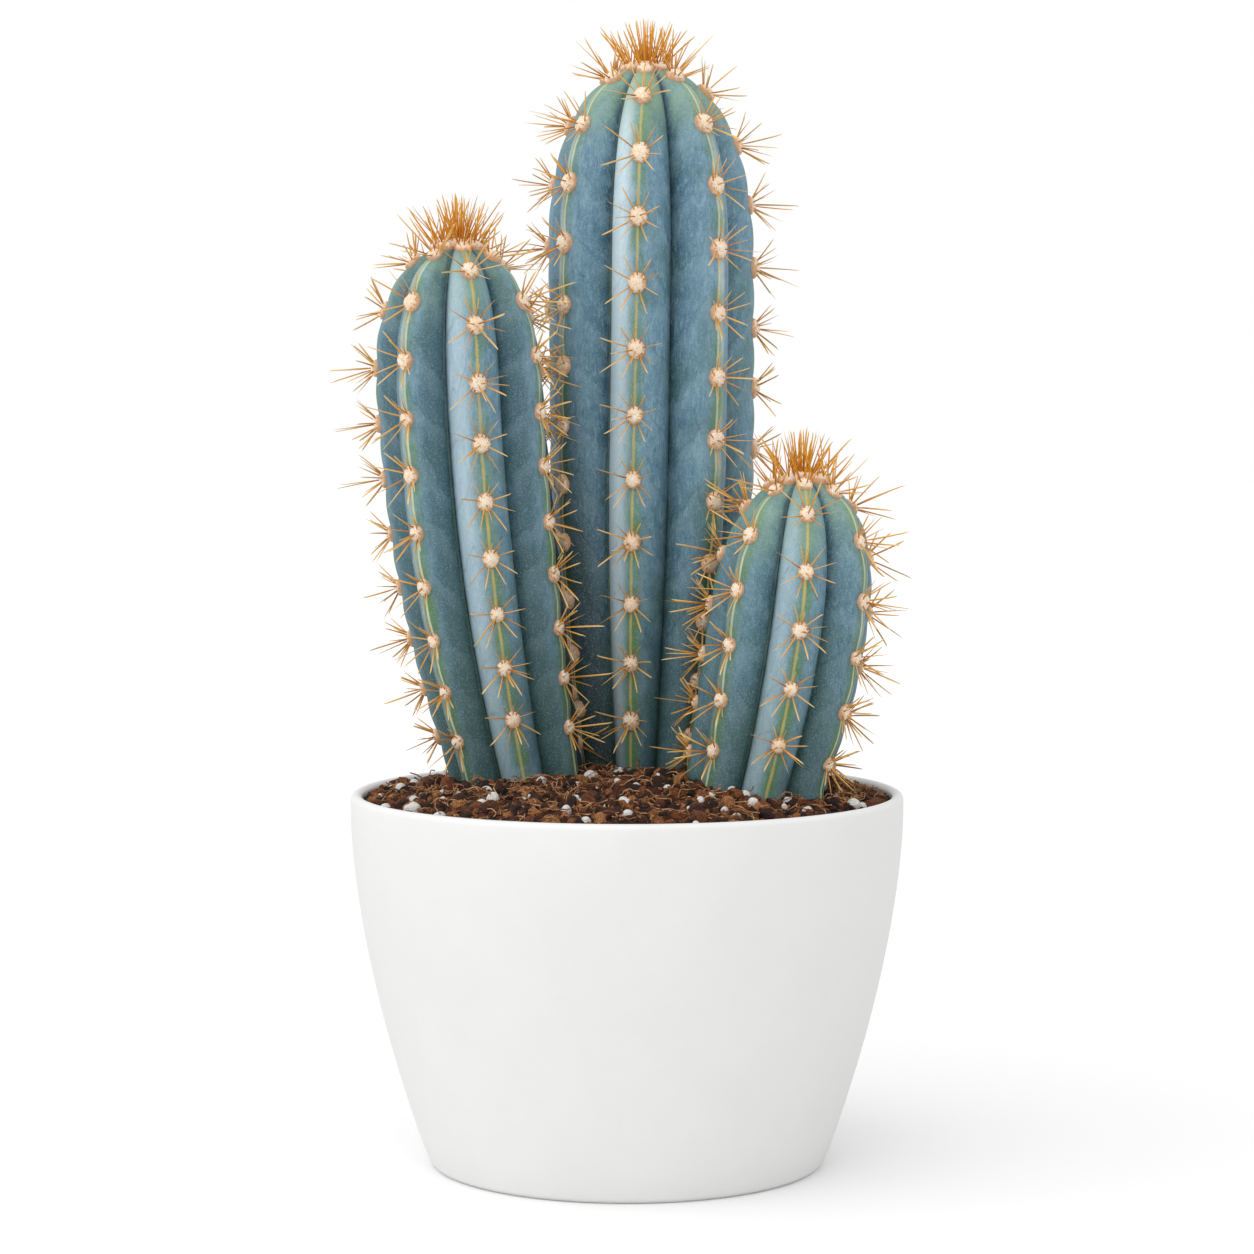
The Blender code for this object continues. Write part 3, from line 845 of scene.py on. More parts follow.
def skinFinish(owner, shades):
    # Waxy blue skin: painted shade in valleys and creases, green beside the crests, a yellow crest line.
    material, tree = newMaterial("blueSkin_" + owner)
    tones = skinColours
    crest, row, rib, near = (carried(tree, name) for name in ("crest", "row", "rib", "close"))
    side, fromTop, fromSoil = (carried(tree, name) * 1000.0 for name in ("side", "fromTop", "fromSoil"))
    grain, blotches = grainAndBlotches(tree, 0.45 * mm, 8.0 * mm)
    long = objectPlace(tree, (1.0, 1.0, 0.3))
    streaks = noise(tree, long, 3.2 * mm, 5.0, 0.6, 0.4)
    veins = noise(tree, long, 1.5 * mm, 4.0, 0.65, 1.6)
    clouds = noise(tree, objectPlace(tree), 15.0 * mm, 3.0, 0.55)

    def size(value):
        return maths(tree, "ABSOLUTE", value)

    def ramp(value, start, end):
        return ramped(tree, value, start, end)

    # The front rib's left side painted paler as if lit, and a painted highlight rim outside the crests of the
    # ribs beside it.
    aside = size(side)
    front = 1.0 - clamped(tree, size(rib))
    beyond = 1.0 - clamped(tree, size(1.0 - size(rib)))
    # painted highlight: a pale rim on the outer side of the ribs beside the front one
    rimHighlight = beyond * ramp(side * rib, 0.1, 0.9) * ramp(side * rib, 3.4, 1.6) * (0.45 + veins * 0.4)
    # painted light: the front rib's left side made paler as if lit from the left
    pale = front * ramp(side, 0.5, -6.0) * ramp(crest, 0.1, 0.5) * (0.7 + veins * 0.6)

    # Creases that leave each areole sideways and sweep down to the valleys; painted shade darkens them.
    sweep = row - aside * 0.07 + (streaks - 0.5) * 0.5 + (clouds - 0.5) * 0.9
    wrap = sweep - maths(tree, "FLOOR", sweep)
    crease = (1.0 - ramp(size(wrap - 0.5), 0.0, 0.06)) * ramp(aside, 2.0, 6.0) * ramp(veins, 0.4, 0.6)
    fold = ramp(wrap, 0.5, 0.62) * ramp(wrap, 1.0, 0.7) * ramp(aside, 1.5, 5.0)

    # Green beside the crest between the areoles and near the tip; a darker green near the soil, partly
    # painted shade; painted shade where the stems face each other.
    between = ramp(size(row - maths(tree, "ROUND", row)), 0.02, 0.3)
    low = ramp(fromSoil, 130.0, 10.0)
    green = clamped(tree, 0.4 + low * 0.4 + (clouds + streaks - 1.0) * 1.6)
    green = (1.0 - ramp(size(side - 0.35), 0.5, 3.9)) * (0.4 + between * 0.6) * green
    tip = clamped(tree, ramp(fromTop, 30.0, 3.0) * (shades["tip"] + blotches * 0.35)) * ramp(crest, 0.1, 0.5)
    # darker green towards the soil: partly the skin's own tone, partly painted shade
    foot = ramp(fromSoil + clouds * 50.0, 115.0, 15.0) * (0.8 - crest * 0.3 - front * 0.25)
    # painted shade where the stems face each other
    stemGapShade = ramp(near, 0.1, 0.65) * ramp(fromSoil, 150.0, 60.0) * (0.9 - crest * 0.3)

    skin = painted(
        # the dark valley end of this ramp is painted shade
        tree, colourRamp(tree, crest, *tones["shadedValleyToCrest"]),
        (ramp(streaks, 0.35, 0.65) * 0.5, tones["streaks"]),
        (ramp(veins, 0.5, 0.68) * 0.6, tones["paleVeins"]),
        (ramp(veins, 0.49, 0.32) * 0.6, tones["darkVeins"]),
        (ramp(blotches, 0.25, 0.95) * 0.25, tones["blotches"]),
        (ramp(clouds, 0.45, 0.7) * 0.45, tones["clouds"]),
        (rimHighlight, tones["rimHighlights"]),
        # painted light on the front rib's left side
        (clamped(tree, pale * shades["pale"]), tones["frontPaintedLight"]),
        # painted shade on the flanks of every rib but the front one
        (shades["deep"] * (1.0 - front) * ramp(crest, 1.0, 0.7), tones["shadedFlanks"]),
        (fold * 0.14, tones["folds"]),
        # painted shade in the creases
        (crease * 0.35, tones["creaseShade"]),
        (clamped(tree, green * 1.1), tones["besideCrest"]),
        (tip, tones["tip"]),
        # darker green near the soil, partly painted shade
        (foot, tones["foot"]),
        # painted shade between the stems
        (stemGapShade, tones["shadeBetweenStems"]),
    )
    crestLine = 1.0 - ramp(size(side + (streaks - 0.5) * 0.5), 0.2, 0.62)
    lineTone = mixed(tree, front, colour(tones["sideCrestLine"]), colour(tones["frontCrestLine"]))
    skin = mixed(tree, crestLine * (0.6 + blotches * 0.35), skin, lineTone)
    skin = painted(tree, skin, (ramp(grain, 0.62, 1.0) * 0.2, tones["paleDots"]),
                   (ramp(grain, 0.3, 0.0) * 0.16, tones["darkDots"]))
    ridge = 1.0 - ramp(aside, 0.0, 0.8)
    height = ridge * 0.35 + streaks * 0.35 + grain * 0.12 - crease * 0.4
    return finished(material, skin, 0.47 + blotches * 0.1 + grain * 0.08, height, 0.35 * mm, 0.6)


def addRows(piece, stem):
    # Keeps each point's place among its rib's areoles: whole at an areole, counting down the crest.
    mesh = piece.data
    count = len(mesh.vertices)
    places = np.empty(count * 3, dtype=np.float32)
    mesh.vertices.foreach_get("co", places)
    heights = places.reshape(-1, 3)[:, 2]
    rib = np.empty(count, dtype=np.float32)
    mesh.attributes["rib"].data.foreach_get("value", rib)
    rib = np.round(rib).astype(int) % ribs["count"]
    rows = np.zeros(count, dtype=np.float32)
    for number in range(ribs["count"]):
        marks = areoleHeights(stem, number)
        step = marks[-2] - marks[-1]
        marks = [stem["top"] + step * 0.2] + marks + [marks[-1] - step * k for k in (1, 2, 3)]
        mine = rib == number
        rows[mine] = np.interp(-heights[mine], [-z for z in marks], np.arange(len(marks)))
    mesh.attributes.new("row", "FLOAT", "POINT").data.foreach_set("value", rows)


def addCloseness(piece, owner):
    # Keeps how near each point is to another stem: 1 where they touch, 0 from ribs["closeReach"] on.
    mesh = piece.data
    places = np.empty(len(mesh.vertices) * 3, dtype=np.float32)
    mesh.vertices.foreach_get("co", places)
    x, y, z = places.reshape(-1, 3).T
    apart = np.full(len(z), ribs["closeReach"])
    for name, other in stems.items():
        if name == owner:
            continue
        levels = np.linspace(ribs["soilEdge"] - ribs["fadeDepth"], other["top"], 80)
        middles = [axisPoint(other, level) for level in levels]
        middleX = np.interp(z, levels, [middle.x for middle in middles])
        middleY = np.interp(z, levels, [middle.y for middle in middles])
        reach = np.interp(z, levels, [crestRadius(other, level) for level in levels])
        gap = np.hypot(x - middleX, y - middleY) - reach
        apart = np.minimum(apart, np.where(z > other["top"], ribs["closeReach"], gap))
    # the skin finish paints shade between the stems from this value
    close = np.clip(1.0 - apart / ribs["closeReach"], 0.0, 1.0).astype(np.float32)
    mesh.attributes.new("close", "FLOAT", "POINT").data.foreach_set("value", close)


def makeSkin(owner, stem, tree, material):
    places = [found[0] for found in areoleFrames(stem)]
    dots = linked(bpy.data.objects.new("areole_places", pointMesh("areole_places", places, {})))
    piece = grown("stem_%s_skin" % owner, tree, {**stemValues(stem), "Areoles": dots, "Material": material})
    bpy.data.objects.remove(dots, do_unlink=True)
    addRows(piece, stem)
    addCloseness(piece, owner)
    smooth(piece, 38.0)
    return finishPiece(piece, "stem", "stem_" + owner)


# Wool: a domed pad at each areole and a cushion at each tip

def woolFinish():
    # Cream felt with a few brown specks; painted shade turns each pad tan below its top.
    material, tree = newMaterial("creamWool")
    grain, blotches = grainAndBlotches(tree, 0.5 * mm, 1.6 * mm)
    wool = colourRamp(tree, grain, (0.0, "F0C091"), (0.25, "FFE2BE"), (0.6, "FFF0DA"), (1.0, "FFFBF2"))
    # painted shade: each pad turns tan below its top
    core = carried(tree, "core") + (blotches - 0.5) * 0.5
    wool = painted(tree, wool, (ramped(tree, blotches, 0.1, 0.0) * 0.4, "C48850"),
                   (ramped(tree, carried(tree, "tone"), 0.6, 1.0) * 0.25, "F6CFA2"),
                   (ramped(tree, core, 0.75, 0.1) * 0.75, "C98B55"))
    return finished(material, wool, 0.92, grain * 0.6 + blotches * 0.4, 0.25 * mm, 0.35)


padShape = labelled(areoles, "fineness", "long", "lumps", "lumpSize")


def woolTree():
    # A lumpy domed pad on every point, turned to its areole.
    tree, given = newTree("woolPads", {**padShape, "Seed": 1, "Material": "NodeSocketMaterial"})
    ball = geometryNode(tree, "MeshIcoSphere", {"Radius": 1.0, "Subdivisions": given["Fineness"]})
    # the pad's height, read by the wool's painted shade
    ball = keepAs(tree, ball, "core", partsOf(tree, herePlace(tree))[2])
    turn = addNode(tree, "FunctionNodeAlignRotationToVector", {
        "Vector": named(tree, "away", "FLOAT_VECTOR"),
    }, axis="Z").outputs[0]
    turn = addNode(tree, "FunctionNodeAlignRotationToVector", {
        "Rotation": turn, "Vector": named(tree, "up", "FLOAT_VECTOR"),
    }, axis="Y", pivot_axis="Z").outputs[0]
    wide = Term(tree, named(tree, "wide"))
    rise = Term(tree, named(tree, "rise"))
    pads = geometryNode(tree, "InstanceOnPoints", {
        "Points": given["Geometry"], "Instance": ball, "Rotation": turn,
        "Scale": vectorOf(tree, wide, wide * given["Long"], rise),
    })
    pads = keepAs(tree, pads, "tone", drawn(tree, 0.0, 1.0, given["Seed"]), "INSTANCE")
    pads = geometryNode(tree, "RealizeInstances", {"Geometry": pads})
    lumps = addNode(tree, "ShaderNodeTexVoronoi", {"Scale": 1.0 / given["Lump size"]}, feature="SMOOTH_F1")
    lift = (0.45 - Term(tree, lumps.outputs["Distance"])) * given["Lumps"]
    pads = moved(tree, pads, vectorMaths(tree, "SCALE", hereNormal(tree), lift))
    return endTree(tree, pads, given["Material"])


def makeWool(name, spots, tree, material, slot, node, seed):
    # Spots are (place, away, up, radius, rise).
    places, aways, ups, radii, rises = zip(*spots)
    start = pointMesh(name, places, {"away": aways, "up": ups, "wide": radii, "rise": rises})
    piece = grown(name, tree, {**padShape, "Seed": seed, "Material": material}, start)
    smooth(piece)
    return finishPiece(piece, slot, node)


def stemWool(owner, stem, tree, material):
    dice = random.Random(stem["seed"])
    spots = []
    for place, away, up, side in areoleFrames(stem):
        size = 1.0 + dice.uniform(-areoles["sizeSpread"], areoles["sizeSpread"])
        down = (stem["top"] - place.z) / (stem["top"] - ribs["soilEdge"])
        size *= stem["padSize"] * (1.0 - areoles["smallerAtFoot"] * down)
        spots.append((place - away * ribs["notchDepth"], away, up, areoles["radius"] * size,
                      areoles["rise"] * size))
    makeWool("stem_%s_wool" % owner, spots, tree, material, "crown", "stem_" + owner, stem["seed"])


# Spines

spines = {
    # Clock angle from straight up the crest, lift off the skin, length in mm
    "radials": (
        (2.0, 55.0, 7.5), (34.0, 40.0, 8.2), (73.0, 40.0, 7.8), (117.0, 40.0, 8.4), (153.0, 38.0, 8.8),
        (207.0, 38.0, 9.8), (237.0, 38.0, 11.4), (291.0, 40.0, 10.8), (333.0, 40.0, 8.4),
    ),
    "centrals": ((95.0, 64.0, 13.0), (250.0, 66.0, 13.5), (180.0, 72.0, 12.5)),
    "centralsLeftOut": 0.55,
    "clockSpread": 7.0,
    "liftSpread": 6.0,
    "lengthSpread": 0.12,
    "shorterAtFoot": 0.22,
    "radius": 0.28 * mm,
    "rootReach": 1.9 * mm,  # from the pad's middle
    "rootRise": 0.5 * mm,
    "sunk": 0.8 * mm,
    "bends": (0.0, 0.3, 0.7, 1.2),
    "cuts": (1.0, 0.8, 0.6, 0.4),
    "clearance": 1.2 * mm,  # from the soil and the other stems
    "tested": [i / 6 for i in range(1, 7)],  # the shares of a spine's length where it is tested
    "tuftHeight": 14.0 * mm,  # the neighbour's tuft is kept clear of from tuftStart below its tip
    "tuftStart": 4.0 * mm,
    "sides": 5,
    "segments": 5,
    "bow": 1.5,
    "taper": 1.0,
    "tipShare": 0.05,
}


def spineFinish(name, stops, sheen):
    # Horny and smooth: dark where it leaves the wool, paler towards the point.
    material, tree = newMaterial(name)
    share = carried(tree, "share")
    tone = carried(tree, "tone")
    streak = noise(tree, objectPlace(tree), 1.3 * mm, 2.0)
    horn = colourRamp(tree, share + (streak - 0.5) * 0.2, *stops)
    horn = painted(tree, horn, (tone * 0.4, sheen))
    return finished(material, horn, 0.3 + streak * 0.2, streak, 0.05 * mm, 0.4)


spineShape = labelled(spines, "sides", "segments", "bow", "taper", "tipShare")


def spineTree():
    # One tapered, slightly bowed spine on every point, along the point's aim.
    tree, given = newTree("taperedSpines", {**spineShape, "Seed": 1, "Material": "NodeSocketMaterial"})
    line = geometryNode(tree, "CurvePrimitiveLine", {"End": (0.0, 0.0, 1.0)})
    line = geometryNode(tree, "ResampleCurve", {"Curve": line, "Count": given["Segments"] + 1.0})
    z = partsOf(tree, herePlace(tree))[2]
    line = keepAs(tree, line, "share", z)
    line = moved(tree, line, vectorOf(tree, z * z * given["Bow"], 0.0, 0.0))
    ring = geometryNode(tree, "CurvePrimitiveCircle", {"Resolution": given["Sides"], "Radius": 1.0})
    spine = addNode(tree, "GeometryNodeCurveToMesh", {
        "Curve": line, "Profile Curve": ring, "Fill Caps": True,
    })
    along = Term(tree, named(tree, "share"))
    width = (1.0 - along) ** given["Taper"] * (1.0 - given["Tip share"]) + given["Tip share"]
    feed(tree, width, spine.inputs["Scale"])
    turn = addNode(tree, "FunctionNodeAlignRotationToVector", {
        "Vector": named(tree, "aim", "FLOAT_VECTOR"),
    }, axis="Z").outputs[0]
    spin = addNode(tree, "FunctionNodeAxisAngleToRotation", {
        "Axis": (0.0, 0.0, 1.0), "Angle": drawn(tree, 0.0, 2 * math.pi, given["Seed"]),
    }).outputs[0]
    turn = addNode(tree, "FunctionNodeRotateRotation", {
        "Rotation": turn, "Rotate By": spin,
    }, rotation_space="LOCAL").outputs[0]
    thick = Term(tree, named(tree, "thick"))
    made = geometryNode(tree, "InstanceOnPoints", {
        "Points": given["Geometry"], "Instance": spine.outputs[0], "Rotation": turn,
        "Scale": vectorOf(tree, thick, thick, named(tree, "length")),
    })
    made = keepAs(tree, made, "tone", drawn(tree, 0.0, 1.0, given["Seed"] + 1.0), "INSTANCE")
    return endTree(tree, made, given["Material"])


def isClear(owner, point):
    # True if a spine's point stays out of the soil and the other stems.
    if point.z < soilLevel(point.xy.length) + spines["clearance"]:
        return False
    for name, stem in stems.items():
        if name == owner or point.z > stem["top"] + spines["tuftHeight"]:
            continue
        centre = axisPoint(stem, min(point.z, stem["top"]))
        aside = point.xy - centre.xy
        reach = 0.0
        if point.z < stem["top"]:
            reach = skinRadius(stem, point.z, math.atan2(aside.x, -aside.y))
        if point.z > stem["top"] - spines["tuftStart"]:
            reach = max(reach, crown["radius"])
        if aside.length < reach + spines["clearance"]:
            return False
    return True


def fitted(owner, start, direction, away, length):
    # The spine's run as meant or, where something is in its way, bent off the skin or shortened.
    for cut in spines["cuts"]:
        for bend in spines["bends"]:
            run = (direction + away * bend).normalized() * length * cut
            if all(isClear(owner, start + run * share) for share in spines["tested"]):
                return run
    return None


def makeSpines(name, rows, tree, material, slot, node, seed):
    # Rows are (start, run, thickness).
    starts, runs, thick = zip(*rows)
    start = pointMesh(name, starts, {
        "aim": [run.normalized() for run in runs], "length": [run.length for run in runs], "thick": thick,
    })
    piece = grown(name, tree, {**spineShape, "Seed": seed, "Material": material}, start)
    smooth(piece, 60.0)
    return finishPiece(piece, slot, node)


def stemSpines(owner, stem, tree, material):
    dice = random.Random(stem["seed"] + 20)
    rows = []
    for place, away, up, side in areoleFrames(stem):
        down = (stem["top"] - place.z) / (stem["top"] - ribs["soilEdge"])
        shorter = 1.0 - spines["shorterAtFoot"] * down
        for clock, lift, length in spines["radials"] + spines["centrals"]:
            isCentral = (clock, lift, length) in spines["centrals"]
            if isCentral and dice.random() < spines["centralsLeftOut"]:
                continue
            clock = math.radians(clock + dice.uniform(-spines["clockSpread"], spines["clockSpread"]))
            lift = math.radians(lift + dice.uniform(-spines["liftSpread"], spines["liftSpread"]))
            length *= mm * shorter * (1.0 + dice.uniform(-spines["lengthSpread"], spines["lengthSpread"]))
            flat = up * math.cos(clock) + side * math.sin(clock)
            direction = flat * math.cos(lift) + away * math.sin(lift)
            start = place + flat * spines["rootReach"] * (0.3 if isCentral else 1.0)
            start += away * spines["rootRise"] * (2.0 if isCentral else 1.0)
            run = fitted(owner, start, direction, away, length)
            if run is not None:
                sunk = run.normalized() * spines["sunk"]
                rows.append((start - sunk, run + sunk, spines["radius"] * dice.uniform(0.8, 1.15)))
    makeSpines("stem_%s_spines" % owner, rows, tree, material, "crown", "stem_" + owner, stem["seed"])
    return len(rows)


# Crown tufts

crown = {
    "radius": 6.4 * mm,
    "rise": 2.6 * mm,
    "spines": 20,
    "length": 13.4 * mm,
    "lean": 19.0,
    "rootShare": 0.36,
    "outerSpines": 10,
    "outerLength": 15.0 * mm,
    "outerLean": 41.0,
    "thickness": 1.0,
    "spread": 0.16,
    "ringArc": (5.2 * mm, 8.6 * mm),  # the youngest areoles' place down the crests
    "ringSpines": 6,
    "ringLength": 13.0 * mm,
    "ringPad": 2.6 * mm,
    "ringStep": 0.62,  # of the areoles' spacing
    "ringSpread": 0.2,
    "ringFlat": 0.8,
    "ringUp": 0.5,
    "ringRoot": (1.2 * mm, 0.5 * mm),  # out from the areole's middle, and off the skin
    "ringLengths": (0.6, 1.05),
    "padSunk": 0.4 * mm,
    "cushion": 0.8,  # of the crown's radius
    "cushionSunk": 0.6 * mm,
    "goldenTurn": 137.5,
    "leanSpread": 8.0,
    "rootRise": 0.8 * mm,
    "outerRoot": 0.75,  # of the crown's radius
    "thicknessSpread": (0.8, 1.1),
}


def domeDrop(stem, radius):
    return stem["domeHeight"] * (1.0 - roundedEnd(radius, stem["crestRadius"]))


def youngAreoles(stem):
    # One young areole close to the tip on every rib, above those of the stem itself.
    found = []
    for rib in range(ribs["count"]):
        first, spacing = (value * mm for value in stem["ribRows"][rib])
        wanted = min(first, areoles["firstArc"] + spacing) - spacing * crown["ringStep"]
        wanted = max(crown["ringArc"][0], min(crown["ringArc"][1], wanted))
        height = next(z for travelled, z in crestWalk(stem, rib) if travelled >= wanted)
        found.append(areoleFrame(stem, rib, height))
    return found


def makeCrown(owner, stem, woolTrees, spineTrees, wool, horn):
    dice = random.Random(stem["seed"] + 40)
    node = "crown_" + owner
    tip = axisPoint(stem, stem["top"])
    straight = Vector((0.0, 0.0, 1.0))
    spots = [(tip - straight * crown["cushionSunk"], straight, Vector((0.0, 1.0, 0.0)),
              crown["radius"] * crown["cushion"], crown["rise"])]
    rows = []
    for i in range(crown["spines"] + crown["outerSpines"]):
        isOuter = i >= crown["spines"]
        share = 1.0 if isOuter else math.sqrt((i + 0.5) / crown["spines"])
        sideways = outward(math.radians(i * crown["goldenTurn"]))
        lean = crown["outerLean"] if isOuter else crown["lean"] * share
        lean = math.radians(lean + dice.uniform(-crown["leanSpread"], crown["leanSpread"]))
        run = straight * math.cos(lean) + sideways * math.sin(lean)
        radius = crown["radius"] * (crown["outerRoot"] if isOuter else crown["rootShare"] * share)
        start = tip + sideways * radius + straight * (crown["rootRise"] - domeDrop(stem, radius))
        length = crown["outerLength" if isOuter else "length"]
        length *= 1.0 + dice.uniform(-crown["spread"], 0.2 * crown["spread"])
        thick = spines["radius"] * crown["thickness"] * dice.uniform(*crown["thicknessSpread"])
        rows.append((start, run * length, thick))
    for place, away, up, side in youngAreoles(stem):
        size = dice.uniform(0.9, 1.1)
        spots.append((place - away * crown["padSunk"], away, up, crown["ringPad"] * size,
                      areoles["rise"] * size))
        for i in range(crown["ringSpines"]):
            turn = i + dice.uniform(-crown["ringSpread"], crown["ringSpread"])
            clock = math.radians(360.0 * turn / crown["ringSpines"])
            flat = up * math.cos(clock) + side * math.sin(clock)
            run = (away + flat * crown["ringFlat"] + straight * crown["ringUp"]).normalized()
            start = place + flat * crown["ringRoot"][0] + away * crown["ringRoot"][1]
            length = crown["ringLength"] * dice.uniform(*crown["ringLengths"])
            rows.append((start, run * length, spines["radius"] * dice.uniform(*crown["thicknessSpread"])))
    makeWool(node + "_wool", spots, woolTrees, wool, "crown", node, stem["seed"])
    makeSpines(node + "_spines", rows, spineTrees, horn, "crown", node, stem["seed"])


def makePlant():
    wool = woolFinish()
    horn = spineFinish("amberSpines", ((0.0, "A0540F"), (0.12, "CF8A2E"), (0.5, "EBB254"), (1.0, "F8E0A6")),
                       "E5A548")
    young = spineFinish("goldenSpines", ((0.0, "B06400"), (0.25, "D98B02"), (0.6, "E8A31E"), (1.0, "F2C45C")),
                        "D99512")
    columns, pads, needles = stemTree(), woolTree(), spineTree()
    for owner, stem in stems.items():
        makeSkin(owner, stem, columns, skinFinish(owner, stem["shades"]))
        stemWool(owner, stem, pads, wool)
        count = stemSpines(owner, stem, needles, horn)
        makeCrown(owner, stem, pads, needles, wool, young)
        print("stem", owner, "made with", count, "spines")


makePlant()


# Potting mix

# What lies in the mix: how many for each square metre, sizes, and shape
bits = {
    "crumbs": {"density": 470000.0, "least": 0.5 * mm, "most": 1.7 * mm, "fineness": 1, "flat": 0.45,
               "sink": 0.1, "rugged": 0.9, "seed": 21},
    "clods": {"density": 95000.0, "least": 1.1 * mm, "most": 3.3 * mm, "fineness": 2, "flat": 0.4,
              "sink": 0.15, "rugged": 0.8, "seed": 22},
    "perlite": {"density": 10500.0, "least": 0.4 * mm, "most": 2.45 * mm, "fineness": 3, "flat": 0.22,
                "sink": -0.15, "rugged": 0.2, "seed": 24},
}


def bedFinish():
    material, tree = newMaterial("darkMix")
    grain, blotches = grainAndBlotches(tree, 0.6 * mm, 3.0 * mm)
    earth = colourRamp(tree, grain, (0.0, "0D0705"), (0.5, "2A170E"), (1.0, "4E2D1A"))
    earth = painted(tree, earth, (blotches * 0.5, "1E100A"))
    return finished(material, earth, 0.95, grain + blotches, 0.6 * mm, 0.9)


def crumbFinish():
    material, tree = newMaterial("peatCrumbs")
    grain, blotches = grainAndBlotches(tree, 0.35 * mm, 1.8 * mm)
    tone = carried(tree, "tone")
    earth = colourRamp(tree, tone * 0.75 + grain * 0.3, (0.0, "0E0502"), (0.3, "2A1308"), (0.55, "572C13"),
                       (0.8, "935629"), (1.0, "CE965C"))
    earth = painted(tree, earth, (ramped(tree, blotches, 0.5, 1.0) * 0.45, "2B180E"))
    return finished(material, earth, 0.75 + grain * 0.2, grain * 0.6 + blotches * 0.4, 0.4 * mm, 0.9)


def perliteFinish():
    material, tree = newMaterial("whitePerlite")
    grain, blotches = grainAndBlotches(tree, 0.35 * mm, 1.4 * mm)
    white = mixed(tree, ramped(tree, grain, 0.35, 0.0) * 0.7, colour("F1EFEB"), colour("B9B0A6"))
    white = painted(tree, white, (ramped(tree, carried(tree, "tone"), 0.8, 1.0) * 0.25, "D8BFA4"))
    return finished(material, white, 0.85, grain * 0.5 + blotches * 0.5, 0.4 * mm, 0.7)


bedValues = labelled(mix, "edge", "sideStopsBelow", "lump", "roughDepth", "roughSize")


def bedTree():
    # Clods as a few crossing waves, and fine roughness, on the turned bed's top.
    tree, given = newTree("unevenBed", {**bedValues, "Material": "NodeSocketMaterial"})
    place = herePlace(tree)
    x, y, z = partsOf(tree, place)
    x = x * 1000.0
    y = y * 1000.0
    waves = maths(tree, "SINE", x * 0.43 + 1.3) * maths(tree, "COSINE", y * 0.37 - 0.4)
    waves = waves + maths(tree, "SINE", x * 0.29 - y * 0.51)
    waves = (waves + maths(tree, "COSINE", x * 0.71 + y * 0.33 + 2.0) * 0.7) / 2.7
    rough = noise(tree, place, given["Rough size"], 4.0, 0.65)
    onTop = ramped(tree, z, given["Edge"] - given["Side stops below"] * 0.5, given["Edge"] - 0.5 * mm)
    lift = (waves * given["Lump"] + (rough - 0.5) * given["Rough depth"] * 2.0) * onTop
    bed = moved(tree, given["Geometry"], vectorOf(tree, 0.0, 0.0, lift))
    return endTree(tree, bed, given["Material"])


def strewnDots(tree, given, reach):
    # Dots over the bed's top out to the reach, and how far from the stems' skin each one lies.
    x, y, z = partsOf(tree, herePlace(tree))
    away = maths(tree, "SQRT", x * x + y * y)
    onTop = maths(tree, "GREATER_THAN", partsOf(tree, hereNormal(tree))[2], 0.3)
    inside = maths(tree, "LESS_THAN", away, reach)
    dots = geometryNode(tree, "DistributePointsOnFaces", {
        "Mesh": given["Geometry"], "Selection": onTop * inside, "Density": given["Density"],
        "Seed": given["Seed"],
    }, distribute_method="RANDOM")
    stemMesh = addNode(tree, "GeometryNodeObjectInfo", {"Object": given["Stems"]}).outputs["Geometry"]
    near = addNode(tree, "GeometryNodeProximity", {0: stemMesh}, target_element="FACES")
    facing = addNode(tree, "GeometryNodeSampleNearestSurface", {"Mesh": stemMesh}, data_type="FLOAT_VECTOR")
    feed(tree, hereNormal(tree), facing.inputs["Value"])
    apart = vectorMaths(tree, "SUBTRACT", herePlace(tree), near.outputs["Position"])
    return dots, Term(tree, vectorMaths(tree, "DOT_PRODUCT", apart, facing.outputs[0], "Value"))


